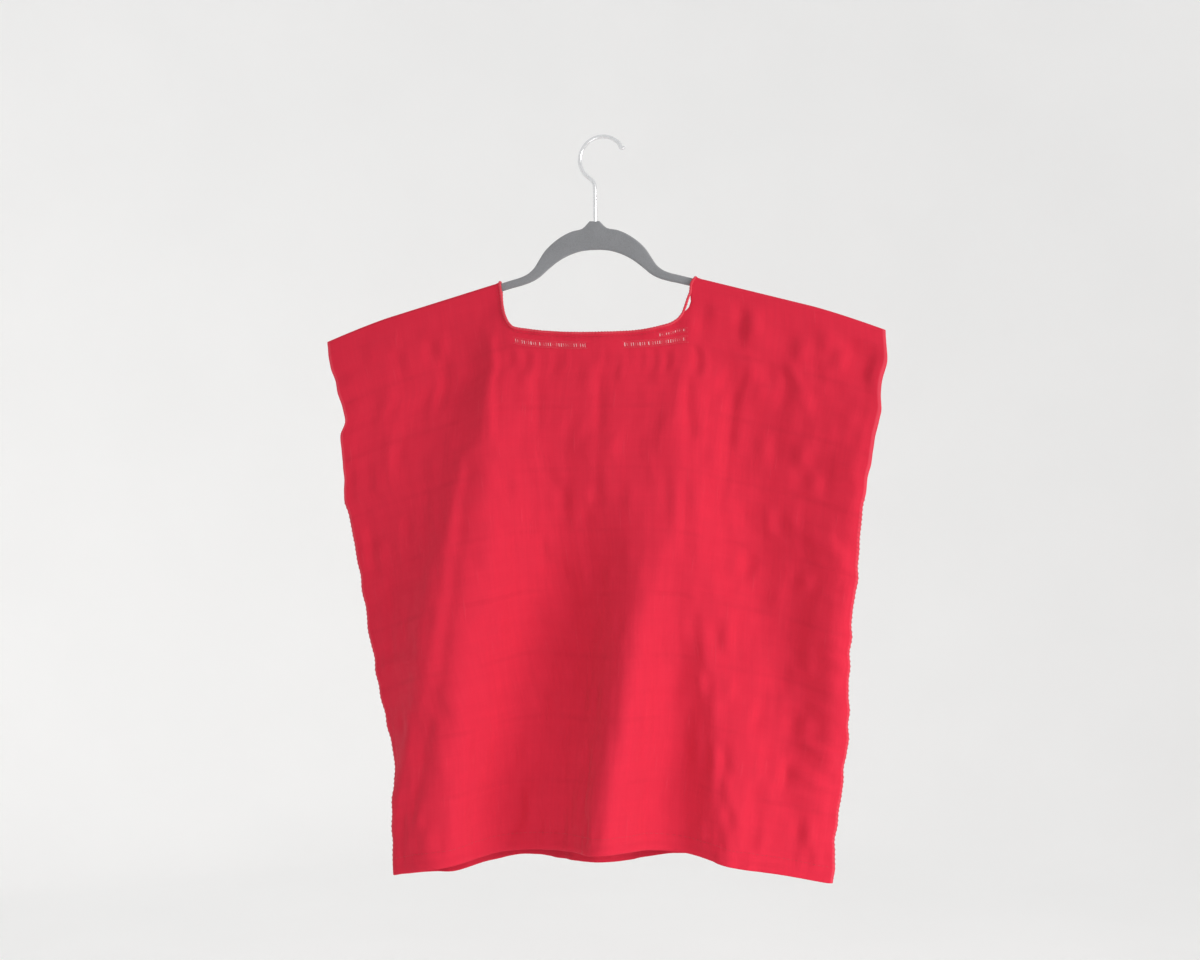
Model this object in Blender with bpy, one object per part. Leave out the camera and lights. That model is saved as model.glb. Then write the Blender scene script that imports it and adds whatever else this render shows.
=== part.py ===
"""Huipil blouse hanging on a slim clothes hanger.

The blouse is one straight woven length, folded over the shoulders, with a square neck
cut through the fold, a rolled neck edge, open armholes, sewn sides and a narrow turned hem.
The length is worked out as a flat pattern (p across, q down from the shoulder fold) and
draped: a table of folds gives how far each lengthwise fold stands out at each level, and
the cloth's own width is shared out along each row by equal length.

Metres, +Z up, +X to the right as seen from the front, +Y to the back.
Origin: the inside top of the hanger's hook, where it rests on a rail.
"""

import math
from collections import namedtuple

import bpy
import numpy as np

MM = 0.001
GAP = 0.3 * MM

# ---- the cut, as it would lie flat --------------------------------------------------
CUT_WIDTH = 585 * MM
FRONT_LENGTH = 575 * MM
BACK_LENGTH = 592 * MM
ARMHOLE_LENGTH = 178 * MM
CLOTH_THICKNESS = 1.2 * MM
HEM_WIDTH = 18 * MM
HEM_THICKNESS = 1.8 * MM
HEM_STEP = 1.0 * MM
NECK_ROLL_DIAMETER = 2.6 * MM
NECK_ROLL_GAP = 0.45 * MM
# The roll's middle lies this far out from the cloth's inside face, clear of the hanger.
NECK_ROLL_LIFT = 1.15 * MM

# ---- how it hangs -------------------------------------------------------------------
CLOTH_CENTRE_X = -7 * MM
TILT = math.radians(0.5)
FOLD_RADIUS = 3.1 * MM
TIP_FOLD_RADIUS = 1.7 * MM
SHOULDER_TOP_Z = -141.7 * MM
SHOULDER_SLOPE = 0.274
SHOULDER_FLAT_HALF = 94 * MM
SHOULDER_HALF = 285 * MM
DROOP_START = 216 * MM
DROOP = 5.5 * MM
DROOP_CURVE = 1.5
ARMHOLE_CURVE = 1.2
FRONT_HEM_MID_Z = -706 * MM
BACK_HEM_MID_Z = -726 * MM
HEM_CORNER_Z = -737 * MM
HEM_LEVEL_SHARE = 0.2
HEM_CURVE = 1.3

# ---- the hanger and its hook --------------------------------------------------------
HANGER_CENTRE_X = -8 * MM
# How far the cloth's centre line lies from the tilted hanger's middle at the shoulders.
SHOULDER_OFFSET = CLOTH_CENTRE_X - HANGER_CENTRE_X - SHOULDER_TOP_Z * math.tan(TILT)
HANGER_THICKNESS = 5 * MM
HANGER_HALF_SPAN = 222 * MM
ARM_CLEARANCE = 0.5 * MM
ARM_HEIGHT = 8.3 * MM
ARM_START = 86 * MM
HANGER_EDGE_RADIUS = 2.2 * MM
BOSS_TOP_Z = -83 * MM
# Right half of the crown, millimetres from the hanger's middle: over the boss, the crown's
# shoulder and the swept neck of the arm, then back underneath.
Outline = namedtuple("Outline", "x z")
CROWN_TOP = (
    Outline(5, -83), Outline(12.5, -90.2), Outline(23, -92.6), Outline(33, -97),
    Outline(43, -103.8), Outline(51.5, -112), Outline(57.5, -121), Outline(62.5, -128.6),
    Outline(69, -134.2), Outline(77, -137.6),
)
CROWN_UNDERSIDE = (
    Outline(77, -146.2), Outline(66, -142.8), Outline(57, -138), Outline(48.5, -130.8),
    Outline(38, -122.8), Outline(27, -117), Outline(15, -113.2), Outline(5, -112.1),
)
HOOK_WIRE = 4 * MM
HOOK_RADIUS = 23 * MM
HOOK_SHAFT_X = -8 * MM
HOOK_SHAFT_TOP_Z = -50 * MM
HOOK_START_ANGLE = 214
HOOK_END_ANGLE = 48
HOOK_TIP = (23.5 * MM, -10 * MM)
HOOK_ARC_POINTS = 26
HOOK_BEND_POINTS = 7
HOOK_BEND_PULL = 9 * MM
HOOK_END_PULL = 7 * MM
HOOK_TIP_RISE = 2 * MM

# ---- fold tables, millimetres -------------------------------------------------------
# LEVELS: share of the way from the shoulder fold to the hem.
LEVELS = (0.0, 0.15, 0.30, 0.45, 0.60, 0.75, 0.90, 1.0)
# across: distance from the cloth's centre line at each level, to the right positive.
# out: how far the fold stands out from the side seams' plane at each level.
Fold = namedtuple("Fold", "name across out")

FRONT_FOLDS = (
    Fold("left shoulder face", (-205, -205, -204, -203, -200, -193, -190, -190),
         (3.1, 6, 11, 16, 19, 20, 20, 19)),
    Fold("left neck ridge", (-100, -101, -112, -128, -138, -144, -152, -158),
         (3.1, 12, 24, 33, 39, 42, 44, 45)),
    Fold("left valley", (-50, -50, -49, -36, -56, -85, -104, -107),
         (3.1, 10, 12, 12, 9, 4, 0, -1)),
    Fold("centre ridge", (97, 90, 77, 62, 43, 27, 13, 5),
         (3.1, 13, 25, 37, 48, 57, 65, 68)),
    Fold("centre valley", (112, 108, 104, 96, 84, 80, 73, 71),
         (3.1, 10, 18, 26, 26, 22, 19, 18)),
    Fold("right ridge", (150, 130, 124, 118, 104, 112, 121, 124),
         (3.1, 7.5, 13, 20, 28, 37, 43, 46)),
    Fold("right valley", (175, 165, 160, 162, 182, 200, 196, 190),
         (3.1, 6, 8, 9, 11, 14, 16, 17)),
    Fold("right edge ridge", (215, 212, 212, 222, 225, 224, 216, 210),
         (3.1, 9, 13, 15, 15, 14, 12, 11)),
)

BACK_FOLDS = (
    Fold("left edge ridge", (-215, -214, -212, -208, -204, -200, -196, -194),
         (3.1, 9, 15, 20, 24, 26, 27, 27)),
    Fold("left valley", (-165, -162, -160, -158, -156, -154, -152, -151),
         (3.1, 6, 8, 9, 10, 10, 10, 10)),
    Fold("left ridge", (-100, -102, -104, -103, -101, -98, -96, -95),
         (3.1, 12, 22, 33, 43, 50, 55, 57)),
    Fold("centre valley", (0, -2, -3, -4, -5, -6, -6, -6),
         (3.1, 13, 12, 10, 8, 6, 4, 4)),
    Fold("right ridge", (100, 101, 103, 103, 100, 96, 93, 92),
         (3.1, 12, 24, 36, 46, 54, 60, 62)),
    Fold("right valley", (160, 158, 156, 155, 155, 156, 157, 158),
         (3.1, 7, 8, 9, 10, 11, 12, 12)),
    Fold("right edge ridge", (218, 217, 215, 212, 208, 205, 202, 200),
         (3.1, 9, 15, 19, 22, 24, 25, 25)),
)

# Side edges: share of the way down, and half width from the cloth's centre line.
Edge = namedtuple("Edge", "down half_width")
LEFT_EDGE = (
    Edge(0.0, 284), Edge(0.06, 277), Edge(0.12, 267), Edge(0.15, 264), Edge(0.18, 267.5),
    Edge(0.30, 267.5), Edge(0.335, 261), Edge(0.43, 253.5), Edge(0.55, 243.5),
    Edge(0.66, 233), Edge(0.775, 219), Edge(0.81, 217), Edge(0.90, 218.5), Edge(1.0, 216),
)
RIGHT_EDGE = (
    Edge(0.0, 284.5), Edge(0.04, 285.5), Edge(0.12, 277.5), Edge(0.145, 278),
    Edge(0.20, 271.5), Edge(0.33, 259.5), Edge(0.44, 253), Edge(0.60, 243.5),
    Edge(0.71, 242), Edge(0.82, 235.5), Edge(0.92, 228), Edge(1.0, 225),
)
# Where the side seams stand between front and back, to the back positive.
Seam = namedtuple("Seam", "down left right")
SEAM_PLACE = (
    Seam(0.0, 0, 0), Seam(0.30, 3, 2), Seam(0.60, 6, 4), Seam(0.80, 4, 4), Seam(1.0, 0, 2),
)
# How wide the armholes stand open on each side of the seams' plane.
LEFT_ARMHOLE_GAPE = 7 * MM
RIGHT_ARMHOLE_GAPE = 9 * MM

# Finished neck opening on the flat cut: the two sides run down, the base runs across.
SidePoint = namedtuple("SidePoint", "down half_width")
BasePoint = namedtuple("BasePoint", "across down")
Neck = namedtuple("Neck", "left base right")

FRONT_NECK = Neck(
    left=(SidePoint(0, 99.5), SidePoint(20, 99.3), SidePoint(30, 97.8), SidePoint(38, 95.6),
          SidePoint(44.5, 92.8)),
    base=(BasePoint(-92.8, 44.5), BasePoint(-87, 49.5), BasePoint(-75, 52.5),
          BasePoint(-57, 55), BasePoint(-40, 56.3), BasePoint(-20, 57.3), BasePoint(5, 57.6),
          BasePoint(30, 56.8), BasePoint(48, 55.2), BasePoint(62, 52.2), BasePoint(72, 49.2),
          BasePoint(79.5, 44.5)),
    right=(SidePoint(0, 98.5), SidePoint(4, 95.5), SidePoint(9, 92.8), SidePoint(17, 91.3),
           SidePoint(25, 87.8), SidePoint(33, 85.3), SidePoint(39, 83.5), SidePoint(44.5, 79.5)),
)
BACK_NECK = Neck(
    left=(SidePoint(0, 99.5), SidePoint(25, 97), SidePoint(48, 94), SidePoint(62, 88.5)),
    base=(BasePoint(-88.5, 62), BasePoint(-80, 67.5), BasePoint(-60, 70.5), BasePoint(0, 72.5),
          BasePoint(60, 70.5), BasePoint(80, 67.5), BasePoint(88.5, 62)),
    right=(SidePoint(0, 98.5), SidePoint(25, 97), SidePoint(48, 94), SidePoint(62, 88.5)),
)
# Unsewn slit between the neck roll and the front panel, on the right side of the neck.
SLIT_START = 16 * MM
SLIT_END = 40 * MM
SLIT_WIDTH = 3.1 * MM
SLIT_END_TAPER = 6 * MM

# ---- mesh density -------------------------------------------------------------------
SHOULDER_COLUMNS = 13
NECK_COLUMNS = 16
FOLD_ROWS = 3
NECK_ROWS = 7
BODY_ROWS = 23
DRAPE_LEVELS = 81
DRAPE_SAMPLES = 301
# Exponents and ease that draw the columns and rows together towards the neck's corners.
SHOULDER_SPREAD = 0.85
NECK_EASE = 0.6
NECK_ROW_SPREAD = 1.4
CORNER_SHARE = 0.7
NORMAL_STEP = 2.5 * MM
ARM_POINTS = 5
SMOOTH_ANGLE = math.radians(50)
BEVEL_ANGLE = math.radians(70)

# ---- colours ------------------------------------------------------------------------
RED_COTTON = (0.60, 0.022, 0.045)
RED_EDGE = (0.52, 0.018, 0.038)
GREY_FLOCK = (0.24, 0.245, 0.255)
STEEL = (0.78, 0.79, 0.80)


# ---- small helpers ------------------------------------------------------------------
def smooth_curve(knots, values, at):
    """Cubic curve through the knots that never overshoots them."""
    knots = np.asarray(knots, float)
    values = np.asarray(values, float)
    steps = np.diff(knots)
    slopes = np.diff(values) / steps
    tangents = np.zeros_like(values)
    tangents[0] = slopes[0]
    tangents[-1] = slopes[-1]
    for i in range(1, len(values) - 1):
        before, after = slopes[i - 1], slopes[i]
        if before * after > 0:
            tangents[i] = 2 * before * after / (before + after)
    at = np.clip(np.asarray(at, float), knots[0], knots[-1])
    cell = np.clip(np.searchsorted(knots, at, side="right") - 1, 0, len(steps) - 1)
    t = (at - knots[cell]) / steps[cell]
    start = (1 + 2 * t) * (1 - t) ** 2 * values[cell]
    start += t * (1 - t) ** 2 * steps[cell] * tangents[cell]
    end = t ** 2 * (3 - 2 * t) * values[cell + 1]
    end += t ** 2 * (t - 1) * steps[cell] * tangents[cell + 1]
    return start + end


def column(rows, name):
    """One named column of a table."""
    return [getattr(row, name) for row in rows]


# ---- the drape ----------------------------------------------------------------------
def shoulder_height(x):
    """Height of the folded top edge, inside face, at a distance from the centre line."""
    x = x + SHOULDER_OFFSET
    reach = np.maximum(np.abs(x) - SHOULDER_FLAT_HALF, 0)
    past = np.clip((np.abs(x) - DROOP_START) / (SHOULDER_HALF - DROOP_START), 0, None)
    return SHOULDER_TOP_Z - SHOULDER_SLOPE * reach - DROOP * past ** DROOP_CURVE - x * math.tan(TILT)


def hem_height(across, side):
    """Height of the hem at a share across, from -1 at the left corner to 1."""
    middle = FRONT_HEM_MID_Z if side < 0 else BACK_HEM_MID_Z
    rise = np.maximum(np.abs(across) - HEM_LEVEL_SHARE, 0) / (1 - HEM_LEVEL_SHARE)
    return middle + (HEM_CORNER_Z - middle) * rise ** HEM_CURVE


def edge_gape(down, length, widest):
    """How far a side edge stands off the seams' plane: open at the armhole, then closed."""
    share = min(down * length / ARMHOLE_LENGTH, 1.0)
    return TIP_FOLD_RADIUS * (1 - share) + widest * math.sin(math.pi * share) ** ARMHOLE_CURVE


class Drape:
    """Maps the flat cut of one side (front -1, back +1) to its hanging shape."""

    def __init__(self, side, length, folds):
        self.side = side
        self.length = length
        self.levels = np.linspace(0, 1, DRAPE_LEVELS)
        rows = [self.row(folds, down) for down in self.levels]
        self.share_table = np.array([row[0] for row in rows])
        self.x_table = np.array([row[1] for row in rows])
        self.y_table = np.array([row[2] for row in rows])

    def row(self, folds, down):
        """Share across, x and y along one row, spaced by equal length of cloth."""
        left = -smooth_curve(column(LEFT_EDGE, "down"), column(LEFT_EDGE, "half_width"), down)
        right = smooth_curve(column(RIGHT_EDGE, "down"), column(RIGHT_EDGE, "half_width"), down)
        places = [float(left)]
        outs = [edge_gape(down, self.length, LEFT_ARMHOLE_GAPE) / MM]
        for fold in folds:
            places.append(float(smooth_curve(LEVELS, fold.across, down)))
            outs.append(float(smooth_curve(LEVELS, fold.out, down)))
        places.append(float(right))
        outs.append(edge_gape(down, self.length, RIGHT_ARMHOLE_GAPE) / MM)
        share = np.linspace(0, 1, DRAPE_SAMPLES)
        x = (left + (right - left) * share) * MM
        out = smooth_curve(places, outs, x / MM) * MM
        seam_left = smooth_curve(column(SEAM_PLACE, "down"), column(SEAM_PLACE, "left"), down)
        seam_right = smooth_curve(column(SEAM_PLACE, "down"), column(SEAM_PLACE, "right"), down)
        y = (seam_left + (seam_right - seam_left) * share) * MM + self.side * (out + GAP / 2)
        z = self.height(share, np.full_like(share, down * self.length))
        run = np.sqrt(np.diff(x) ** 2 + np.diff(y) ** 2 + np.diff(z) ** 2)
        run = np.concatenate([[0], np.cumsum(run)])
        even = np.linspace(0, run[-1], DRAPE_SAMPLES)
        return np.interp(even, run, share), np.interp(even, run, x), np.interp(even, run, y)

    def height(self, share, q):
        """Height at a share across, 0 to 1, and a length q down from the fold."""
        across = 2 * share - 1
        top = shoulder_height(across * SHOULDER_HALF)
        bend = FOLD_RADIUS * math.pi / 2
        angle = np.clip(q, None, bend) / FOLD_RADIUS
        below = np.clip((q - bend) / (self.length - bend), 0, None)
        rounded = top - FOLD_RADIUS * (1 - np.cos(angle))
        return rounded + (hem_height(across, self.side) - rounded) * below

    def at(self, p, q):
        """Points of the inside face for flat places p across and q down."""
        p = np.asarray(p, float)
        q = np.asarray(q, float)
        u = np.clip(p / CUT_WIDTH + 0.5, 0, 1) * (DRAPE_SAMPLES - 1)
        v = np.clip(q / self.length, 0, 1) * (DRAPE_LEVELS - 1)
        col = np.clip(u.astype(int), 0, DRAPE_SAMPLES - 2)
        row = np.clip(v.astype(int), 0, DRAPE_LEVELS - 2)
        fu = u - col
        fv = v - row

        def blend(table):
            top = table[row, col] * (1 - fu) + table[row, col + 1] * fu
            low = table[row + 1, col] * (1 - fu) + table[row + 1, col + 1] * fu
            return top * (1 - fv) + low * fv

        share = blend(self.share_table)
        x = blend(self.x_table)
        y = blend(self.y_table)
        bend = FOLD_RADIUS * math.pi / 2
        y = y * np.sin(np.clip(q, -bend, bend) / FOLD_RADIUS)
        z = self.height(share, q)
        return np.stack([x + CLOTH_CENTRE_X, y, z], axis=-1)

    def outside(self, p, q, distance):
        """Points moved out from the inside face, square to it."""
        p = np.asarray(p, float)
        q = np.asarray(q, float)
        step = NORMAL_STEP
        reach = CUT_WIDTH / 2 - step
        inner = np.clip(p, -reach, reach)
        along = self.at(inner + step, q) - self.at(inner - step, q)
        down = self.at(inner, np.minimum(q + step, self.length))
        down = down - self.at(inner, np.minimum(q, self.length - step) - step)
        normal = np.cross(down, along) * -self.side
        normal /= np.linalg.norm(normal, axis=-1, keepdims=True)
        return self.at(p, q) + normal * np.asarray(distance, float)[..., None]


# ---- the neck opening on the flat cut -----------------------------------------------
def neck_side(points, q, widen):
    """Half width of the opening at q down one side, widened by an allowance."""
    down = np.array(column(points, "down")) * MM
    half = np.array(column(points, "half_width")) * MM
    return smooth_curve(down, half, q) + widen


def neck_base(points, p, lower):
    """Depth of the opening's base at p across, lowered by an allowance."""
    across = np.array(column(points, "across")) * MM
    depth = np.array(column(points, "down")) * MM
    return smooth_curve(across, depth, p) + lower


def slit_width(q):
    """Extra width of the unsewn slit at q down the right side of the front neck."""
    rise = np.clip((q - SLIT_START) / SLIT_END_TAPER, 0, 1)
    fall = np.clip((SLIT_END - q) / SLIT_END_TAPER, 0, 1)
    return SLIT_WIDTH * np.minimum(rise, fall)


def eased(count, ease):
    """Shares from 0 to 1, closer together at both ends as ease grows from 0 to 1."""
    share = np.linspace(0, 1, count + 1)
    return share * (1 - ease) + (0.5 - 0.5 * np.cos(np.pi * share)) * ease


def row_depths(corner, length):
    """Depth of each row of the grid over a column whose neck corner is at a depth."""
    bend = FOLD_RADIUS * math.pi / 2
    fold = np.linspace(GAP / 2, bend, FOLD_ROWS + 1)
    neck = bend + (corner - bend) * (1 - (1 - np.linspace(0, 1, NECK_ROWS + 1)) ** NECK_ROW_SPREAD)[1:]
    hem = length - HEM_WIDTH
    body = corner + (hem - HEM_STEP - corner) * np.linspace(0, 1, BODY_ROWS - 1)[1:]
    return np.concatenate([fold, neck, body, [hem, length]])


def flat_grid(neck, length, slit):
    """Flat places of one side's grid, and which cells hold cloth."""
    allowance = NECK_ROLL_DIAMETER + NECK_ROLL_GAP
    # At a corner the allowance runs both ways, so each way gets its share.
    diagonal = allowance * CORNER_SHARE
    left_corner = neck.left[-1].half_width * MM + diagonal
    right_corner = neck.right[-1].half_width * MM + diagonal
    half = CUT_WIDTH / 2
    first = SHOULDER_COLUMNS
    last = SHOULDER_COLUMNS + NECK_COLUMNS
    corner_row = FOLD_ROWS + NECK_ROWS
    rows = corner_row + BODY_ROWS
    columns = 2 * SHOULDER_COLUMNS + NECK_COLUMNS

    left_share = np.linspace(0, 1, SHOULDER_COLUMNS + 1) ** SHOULDER_SPREAD
    right_share = 1 - left_share[::-1]
    middle = eased(NECK_COLUMNS, NECK_EASE)
    across = -left_corner + (left_corner + right_corner) * middle
    corners = np.zeros(columns + 1)
    corners[first:last + 1] = neck_base(neck.base, across, allowance)
    corners[:first + 1] = neck.left[-1].down * MM + diagonal
    corners[last:] = neck.right[-1].down * MM + diagonal
    q = np.stack([row_depths(corner, length) for corner in corners], axis=1)

    left_edge = np.full(rows + 1, left_corner)
    right_edge = np.full(rows + 1, right_corner)
    left_edge[:corner_row] = neck_side(neck.left, q[:corner_row, first], allowance)
    right_edge[:corner_row] = neck_side(neck.right, q[:corner_row, last], allowance)
    if slit:
        right_edge[:corner_row] += slit_width(q[:corner_row, last])
    left_edge = left_edge[:, None]
    right_edge = right_edge[:, None]
    p = np.zeros_like(q)
    p[:, first:last + 1] = -left_edge + (left_edge + right_edge) * middle
    p[:, :first + 1] = -half + (half - left_edge) * left_share
    p[:, last:] = right_edge + (half - right_edge) * right_share
    filled = np.ones((rows, columns), bool)
    filled[:corner_row, first:last] = False
    return p, q, filled


# ---- making meshes ------------------------------------------------------------------
def material(name, colour, roughness, metallic=0.0):
    """A plain Principled material."""
    made = bpy.data.materials.new(name)
    made.use_nodes = True
    shader = made.node_tree.nodes["Principled BSDF"]
    shader.inputs["Base Color"].default_value = (*colour, 1.0)
    shader.inputs["Roughness"].default_value = roughness
    shader.inputs["Metallic"].default_value = metallic
    return made


def add_object(name, points, faces, finish):
    """One named object from points and faces, shaded smooth."""
    mesh = bpy.data.meshes.new(name)
    mesh.from_pydata([tuple(map(float, point)) for point in points], [], faces)
    mesh.validate()
    mesh.shade_smooth()
    mesh.set_sharp_from_angle(angle=SMOOTH_ANGLE)
    mesh.materials.append(finish)
    made = bpy.data.objects.new(name, mesh)
    bpy.context.scene.collection.objects.link(made)
    return made


def wall(name, inner, outer, filled, facing, finish):
    """A closed wall between two grids of points, with a rim round every free edge."""
    rows, columns = filled.shape
    used = np.zeros((rows + 1, columns + 1), bool)
    for j, i in np.argwhere(filled):
        used[j:j + 2, i:i + 2] = True
    index = np.cumsum(used.ravel()).reshape(used.shape) - 1
    count = int(used.sum())
    points = np.concatenate([inner[used], outer[used]])
    faces = []
    rim = {}
    for j, i in np.argwhere(filled):
        ring = [index[j, i], index[j, i + 1], index[j + 1, i + 1], index[j + 1, i]]
        if facing > 0:
            ring = ring[::-1]
        ring = [int(corner) for corner in ring]
        faces.append(ring)
        faces.append([corner + count for corner in reversed(ring)])
        for a, b in zip(ring, ring[1:] + ring[:1]):
            if (b, a) in rim:
                del rim[(b, a)]
            else:
                rim[(a, b)] = True
    for a, b in rim:
        faces.append([b, a, a + count, b + count])
    return add_object(name, points, faces, finish)


# ---- the blouse ---------------------------------------------------------------------
def make_panel(name, drape, neck, slit, finish):
    """Front or back of the woven length, from the shoulder fold to its turned hem."""
    p, q, filled = flat_grid(neck, drape.length, slit)
    thickness = np.full_like(p, CLOTH_THICKNESS)
    thickness[-2:] = HEM_THICKNESS
    inner = drape.at(p, q)
    outer = drape.outside(p, q, thickness)
    return wall(name, inner, outer, filled, drape.side, finish)


def offset_line(points, distance):
    """A flat line moved sideways, into the opening, staying parallel to itself."""
    ahead = np.diff(points, axis=0)
    ahead /= np.linalg.norm(ahead, axis=1, keepdims=True)
    square = np.stack([ahead[:, 1], -ahead[:, 0]], axis=1)
    before = np.vstack([square[:1], square])
    after = np.vstack([square, square[-1:]])
    mitre = before + after
    mitre /= np.linalg.norm(mitre, axis=1, keepdims=True)
    return points + mitre * (distance / np.sum(mitre * before, axis=1))[:, None]


def roll_path(drape, neck):
    """Centre line of the rolled edge along one side of the neck, left to right."""
    p, q, filled = flat_grid(neck, drape.length, False)
    corner = FOLD_ROWS + NECK_ROWS
    first = SHOULDER_COLUMNS
    last = SHOULDER_COLUMNS + NECK_COLUMNS
    left = np.stack([p[1:corner, first], q[1:corner, first]], axis=1)
    base = np.stack([p[corner, first:last + 1], q[corner, first:last + 1]], axis=1)
    right = np.stack([p[1:corner, last], q[1:corner, last]], axis=1)[::-1]
    edge = np.concatenate([left, base, right])
    flat = offset_line(edge, NECK_ROLL_GAP + NECK_ROLL_DIAMETER / 2)
    return drape.outside(flat[:, 0], flat[:, 1], np.full(len(flat), NECK_ROLL_LIFT))


def make_neck_roll(front, back, finish):
    """The rolled edge, one closed loop round the neck opening."""
    front_path = roll_path(front, FRONT_NECK)
    back_path = roll_path(back, BACK_NECK)
    radius = NECK_ROLL_DIAMETER / 2
    lift = np.array([0, 0, NECK_ROLL_LIFT])
    left_top = front.at(-FRONT_NECK.left[0].half_width * MM - radius, 0) + lift
    right_top = front.at(FRONT_NECK.right[0].half_width * MM + radius, 0) + lift
    points = np.concatenate([[left_top], front_path, [right_top], back_path[::-1]])
    curve = bpy.data.curves.new("neck_roll", "CURVE")
    curve.dimensions = "3D"
    curve.bevel_depth = NECK_ROLL_DIAMETER / 2
    curve.bevel_resolution = 2
    spline = curve.splines.new("POLY")
    spline.points.add(len(points) - 1)
    for target, point in zip(spline.points, points):
        target.co = (*map(float, point), 1.0)
    spline.use_cyclic_u = True
    spline.use_smooth = True
    curve.materials.append(finish)
    made = bpy.data.objects.new("neck_roll", curve)
    bpy.context.scene.collection.objects.link(made)
    return made


# ---- the hanger ---------------------------------------------------------------------
def arm_top(x):
    """Height of the top of a hanger arm at a distance from the hanger's middle."""
    level = SHOULDER_TOP_Z - ARM_CLEARANCE
    return level - SHOULDER_SLOPE * (x - SHOULDER_FLAT_HALF)


def hanger_half_outline():
    """Right half of the body's outline: down the outer edge, round the end, back inside."""
    points = [(point.x * MM, point.z * MM) for point in CROWN_TOP]
    end = HANGER_HALF_SPAN - ARM_HEIGHT / 2
    for x in np.linspace(ARM_START, end, ARM_POINTS):
        points.append((float(x), arm_top(float(x))))
    middle = arm_top(end) - ARM_HEIGHT / 2
    lean = math.atan(SHOULDER_SLOPE)
    for k in range(1, 8):
        turn = math.pi / 2 - lean - math.pi * k / 8
        centre_x = end - ARM_HEIGHT / 2 * math.sin(lean)
        points.append((centre_x + ARM_HEIGHT / 2 * math.cos(turn),
                       middle + ARM_HEIGHT / 2 * math.sin(turn)))
    for x in np.linspace(end - ARM_HEIGHT * math.sin(lean), ARM_START, ARM_POINTS):
        points.append((float(x), arm_top(float(x)) - ARM_HEIGHT))
    points.extend((point.x * MM, point.z * MM) for point in CROWN_UNDERSIDE)
    return points


def make_hanger(finish):
    """The flocked hanger body: its outline, as thick as the board and rounded all round."""
    half = hanger_half_outline()
    outline = half + [(-x, z) for x, z in reversed(half)]
    count = len(outline)
    back = HANGER_THICKNESS / 2
    points = [(x, -back, z) for x, z in outline] + [(x, back, z) for x, z in outline]
    faces = [list(range(count)), list(range(2 * count - 1, count - 1, -1))]
    faces += [[k, k + count, (k + 1) % count + count, (k + 1) % count] for k in range(count)]
    body = add_object("hanger_body", points, [face[::-1] for face in faces], finish)
    rounding = body.modifiers.new("rounded edges", "BEVEL")
    rounding.width = HANGER_EDGE_RADIUS
    rounding.segments = 3
    rounding.limit_method = "ANGLE"
    rounding.angle_limit = BEVEL_ANGLE
    body.location = (HANGER_CENTRE_X, 0, 0)
    body.rotation_euler = (0, TILT, 0)
    return body


def hook_path():
    """Centre line of the hook, from the boss up, round the rail and out to the tip."""
    centre = (0.0, HOOK_WIRE / 2 - HOOK_RADIUS)
    start = math.radians(HOOK_START_ANGLE)
    end = math.radians(HOOK_END_ANGLE)
    arc = []
    for turn in np.linspace(start, end, HOOK_ARC_POINTS):
        arc.append((centre[0] + HOOK_RADIUS * math.cos(turn),
                    centre[1] + HOOK_RADIUS * math.sin(turn)))
    shaft = [(HOOK_SHAFT_X, BOSS_TOP_Z + GAP), (HOOK_SHAFT_X, HOOK_SHAFT_TOP_Z)]
    first = np.array(arc[0])
    heading = np.array([math.sin(start), -math.cos(start)])
    upward = np.array([0, HOOK_BEND_PULL])
    bend = bezier(np.array(shaft[-1]), upward, first, heading * HOOK_END_PULL)
    last = np.array(arc[-1])
    leaving = np.array([math.sin(end), -math.cos(end)])
    outward = np.array([HOOK_END_PULL, HOOK_TIP_RISE])
    flare = bezier(last, leaving * HOOK_END_PULL, np.array(HOOK_TIP), outward)
    return shaft + bend[1:-1] + arc + flare[1:]


def bezier(start, start_pull, end, end_pull):
    """Points of a cubic curve that leaves and arrives along the given pulls."""
    points = []
    for t in np.linspace(0, 1, HOOK_BEND_POINTS):
        first = start * (1 - t) ** 3 + (start + start_pull) * 3 * t * (1 - t) ** 2
        second = (end - end_pull) * 3 * t ** 2 * (1 - t) + end * t ** 3
        points.append(tuple(first + second))
    return points


def make_hook(finish):
    """The round steel wire hook."""
    curve = bpy.data.curves.new("hanger_hook", "CURVE")
    curve.dimensions = "3D"
    curve.bevel_depth = HOOK_WIRE / 2
    curve.bevel_resolution = 4
    curve.use_fill_caps = True
    path = hook_path()
    spline = curve.splines.new("POLY")
    spline.points.add(len(path) - 1)
    for target, (x, z) in zip(spline.points, path):
        target.co = (x, 0.0, z, 1.0)
    spline.use_smooth = True
    curve.materials.append(finish)
    made = bpy.data.objects.new("hanger_hook", curve)
    bpy.context.scene.collection.objects.link(made)
    return made


def clear_scene():
    for old in list(bpy.data.objects):
        bpy.data.objects.remove(old)


def main():
    clear_scene()
    cotton = material("red cotton", RED_COTTON, 0.92)
    edge = material("red neck edge", RED_EDGE, 0.9)
    flock = material("grey flock", GREY_FLOCK, 0.95)
    steel = material("bright steel", STEEL, 0.25, 1.0)
    front = Drape(-1, FRONT_LENGTH, FRONT_FOLDS)
    back = Drape(1, BACK_LENGTH, BACK_FOLDS)
    make_panel("front_panel", front, FRONT_NECK, True, cotton)
    make_panel("back_panel", back, BACK_NECK, False, cotton)
    make_neck_roll(front, back, edge)
    make_hanger(flock)
    make_hook(steel)


main()
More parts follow.
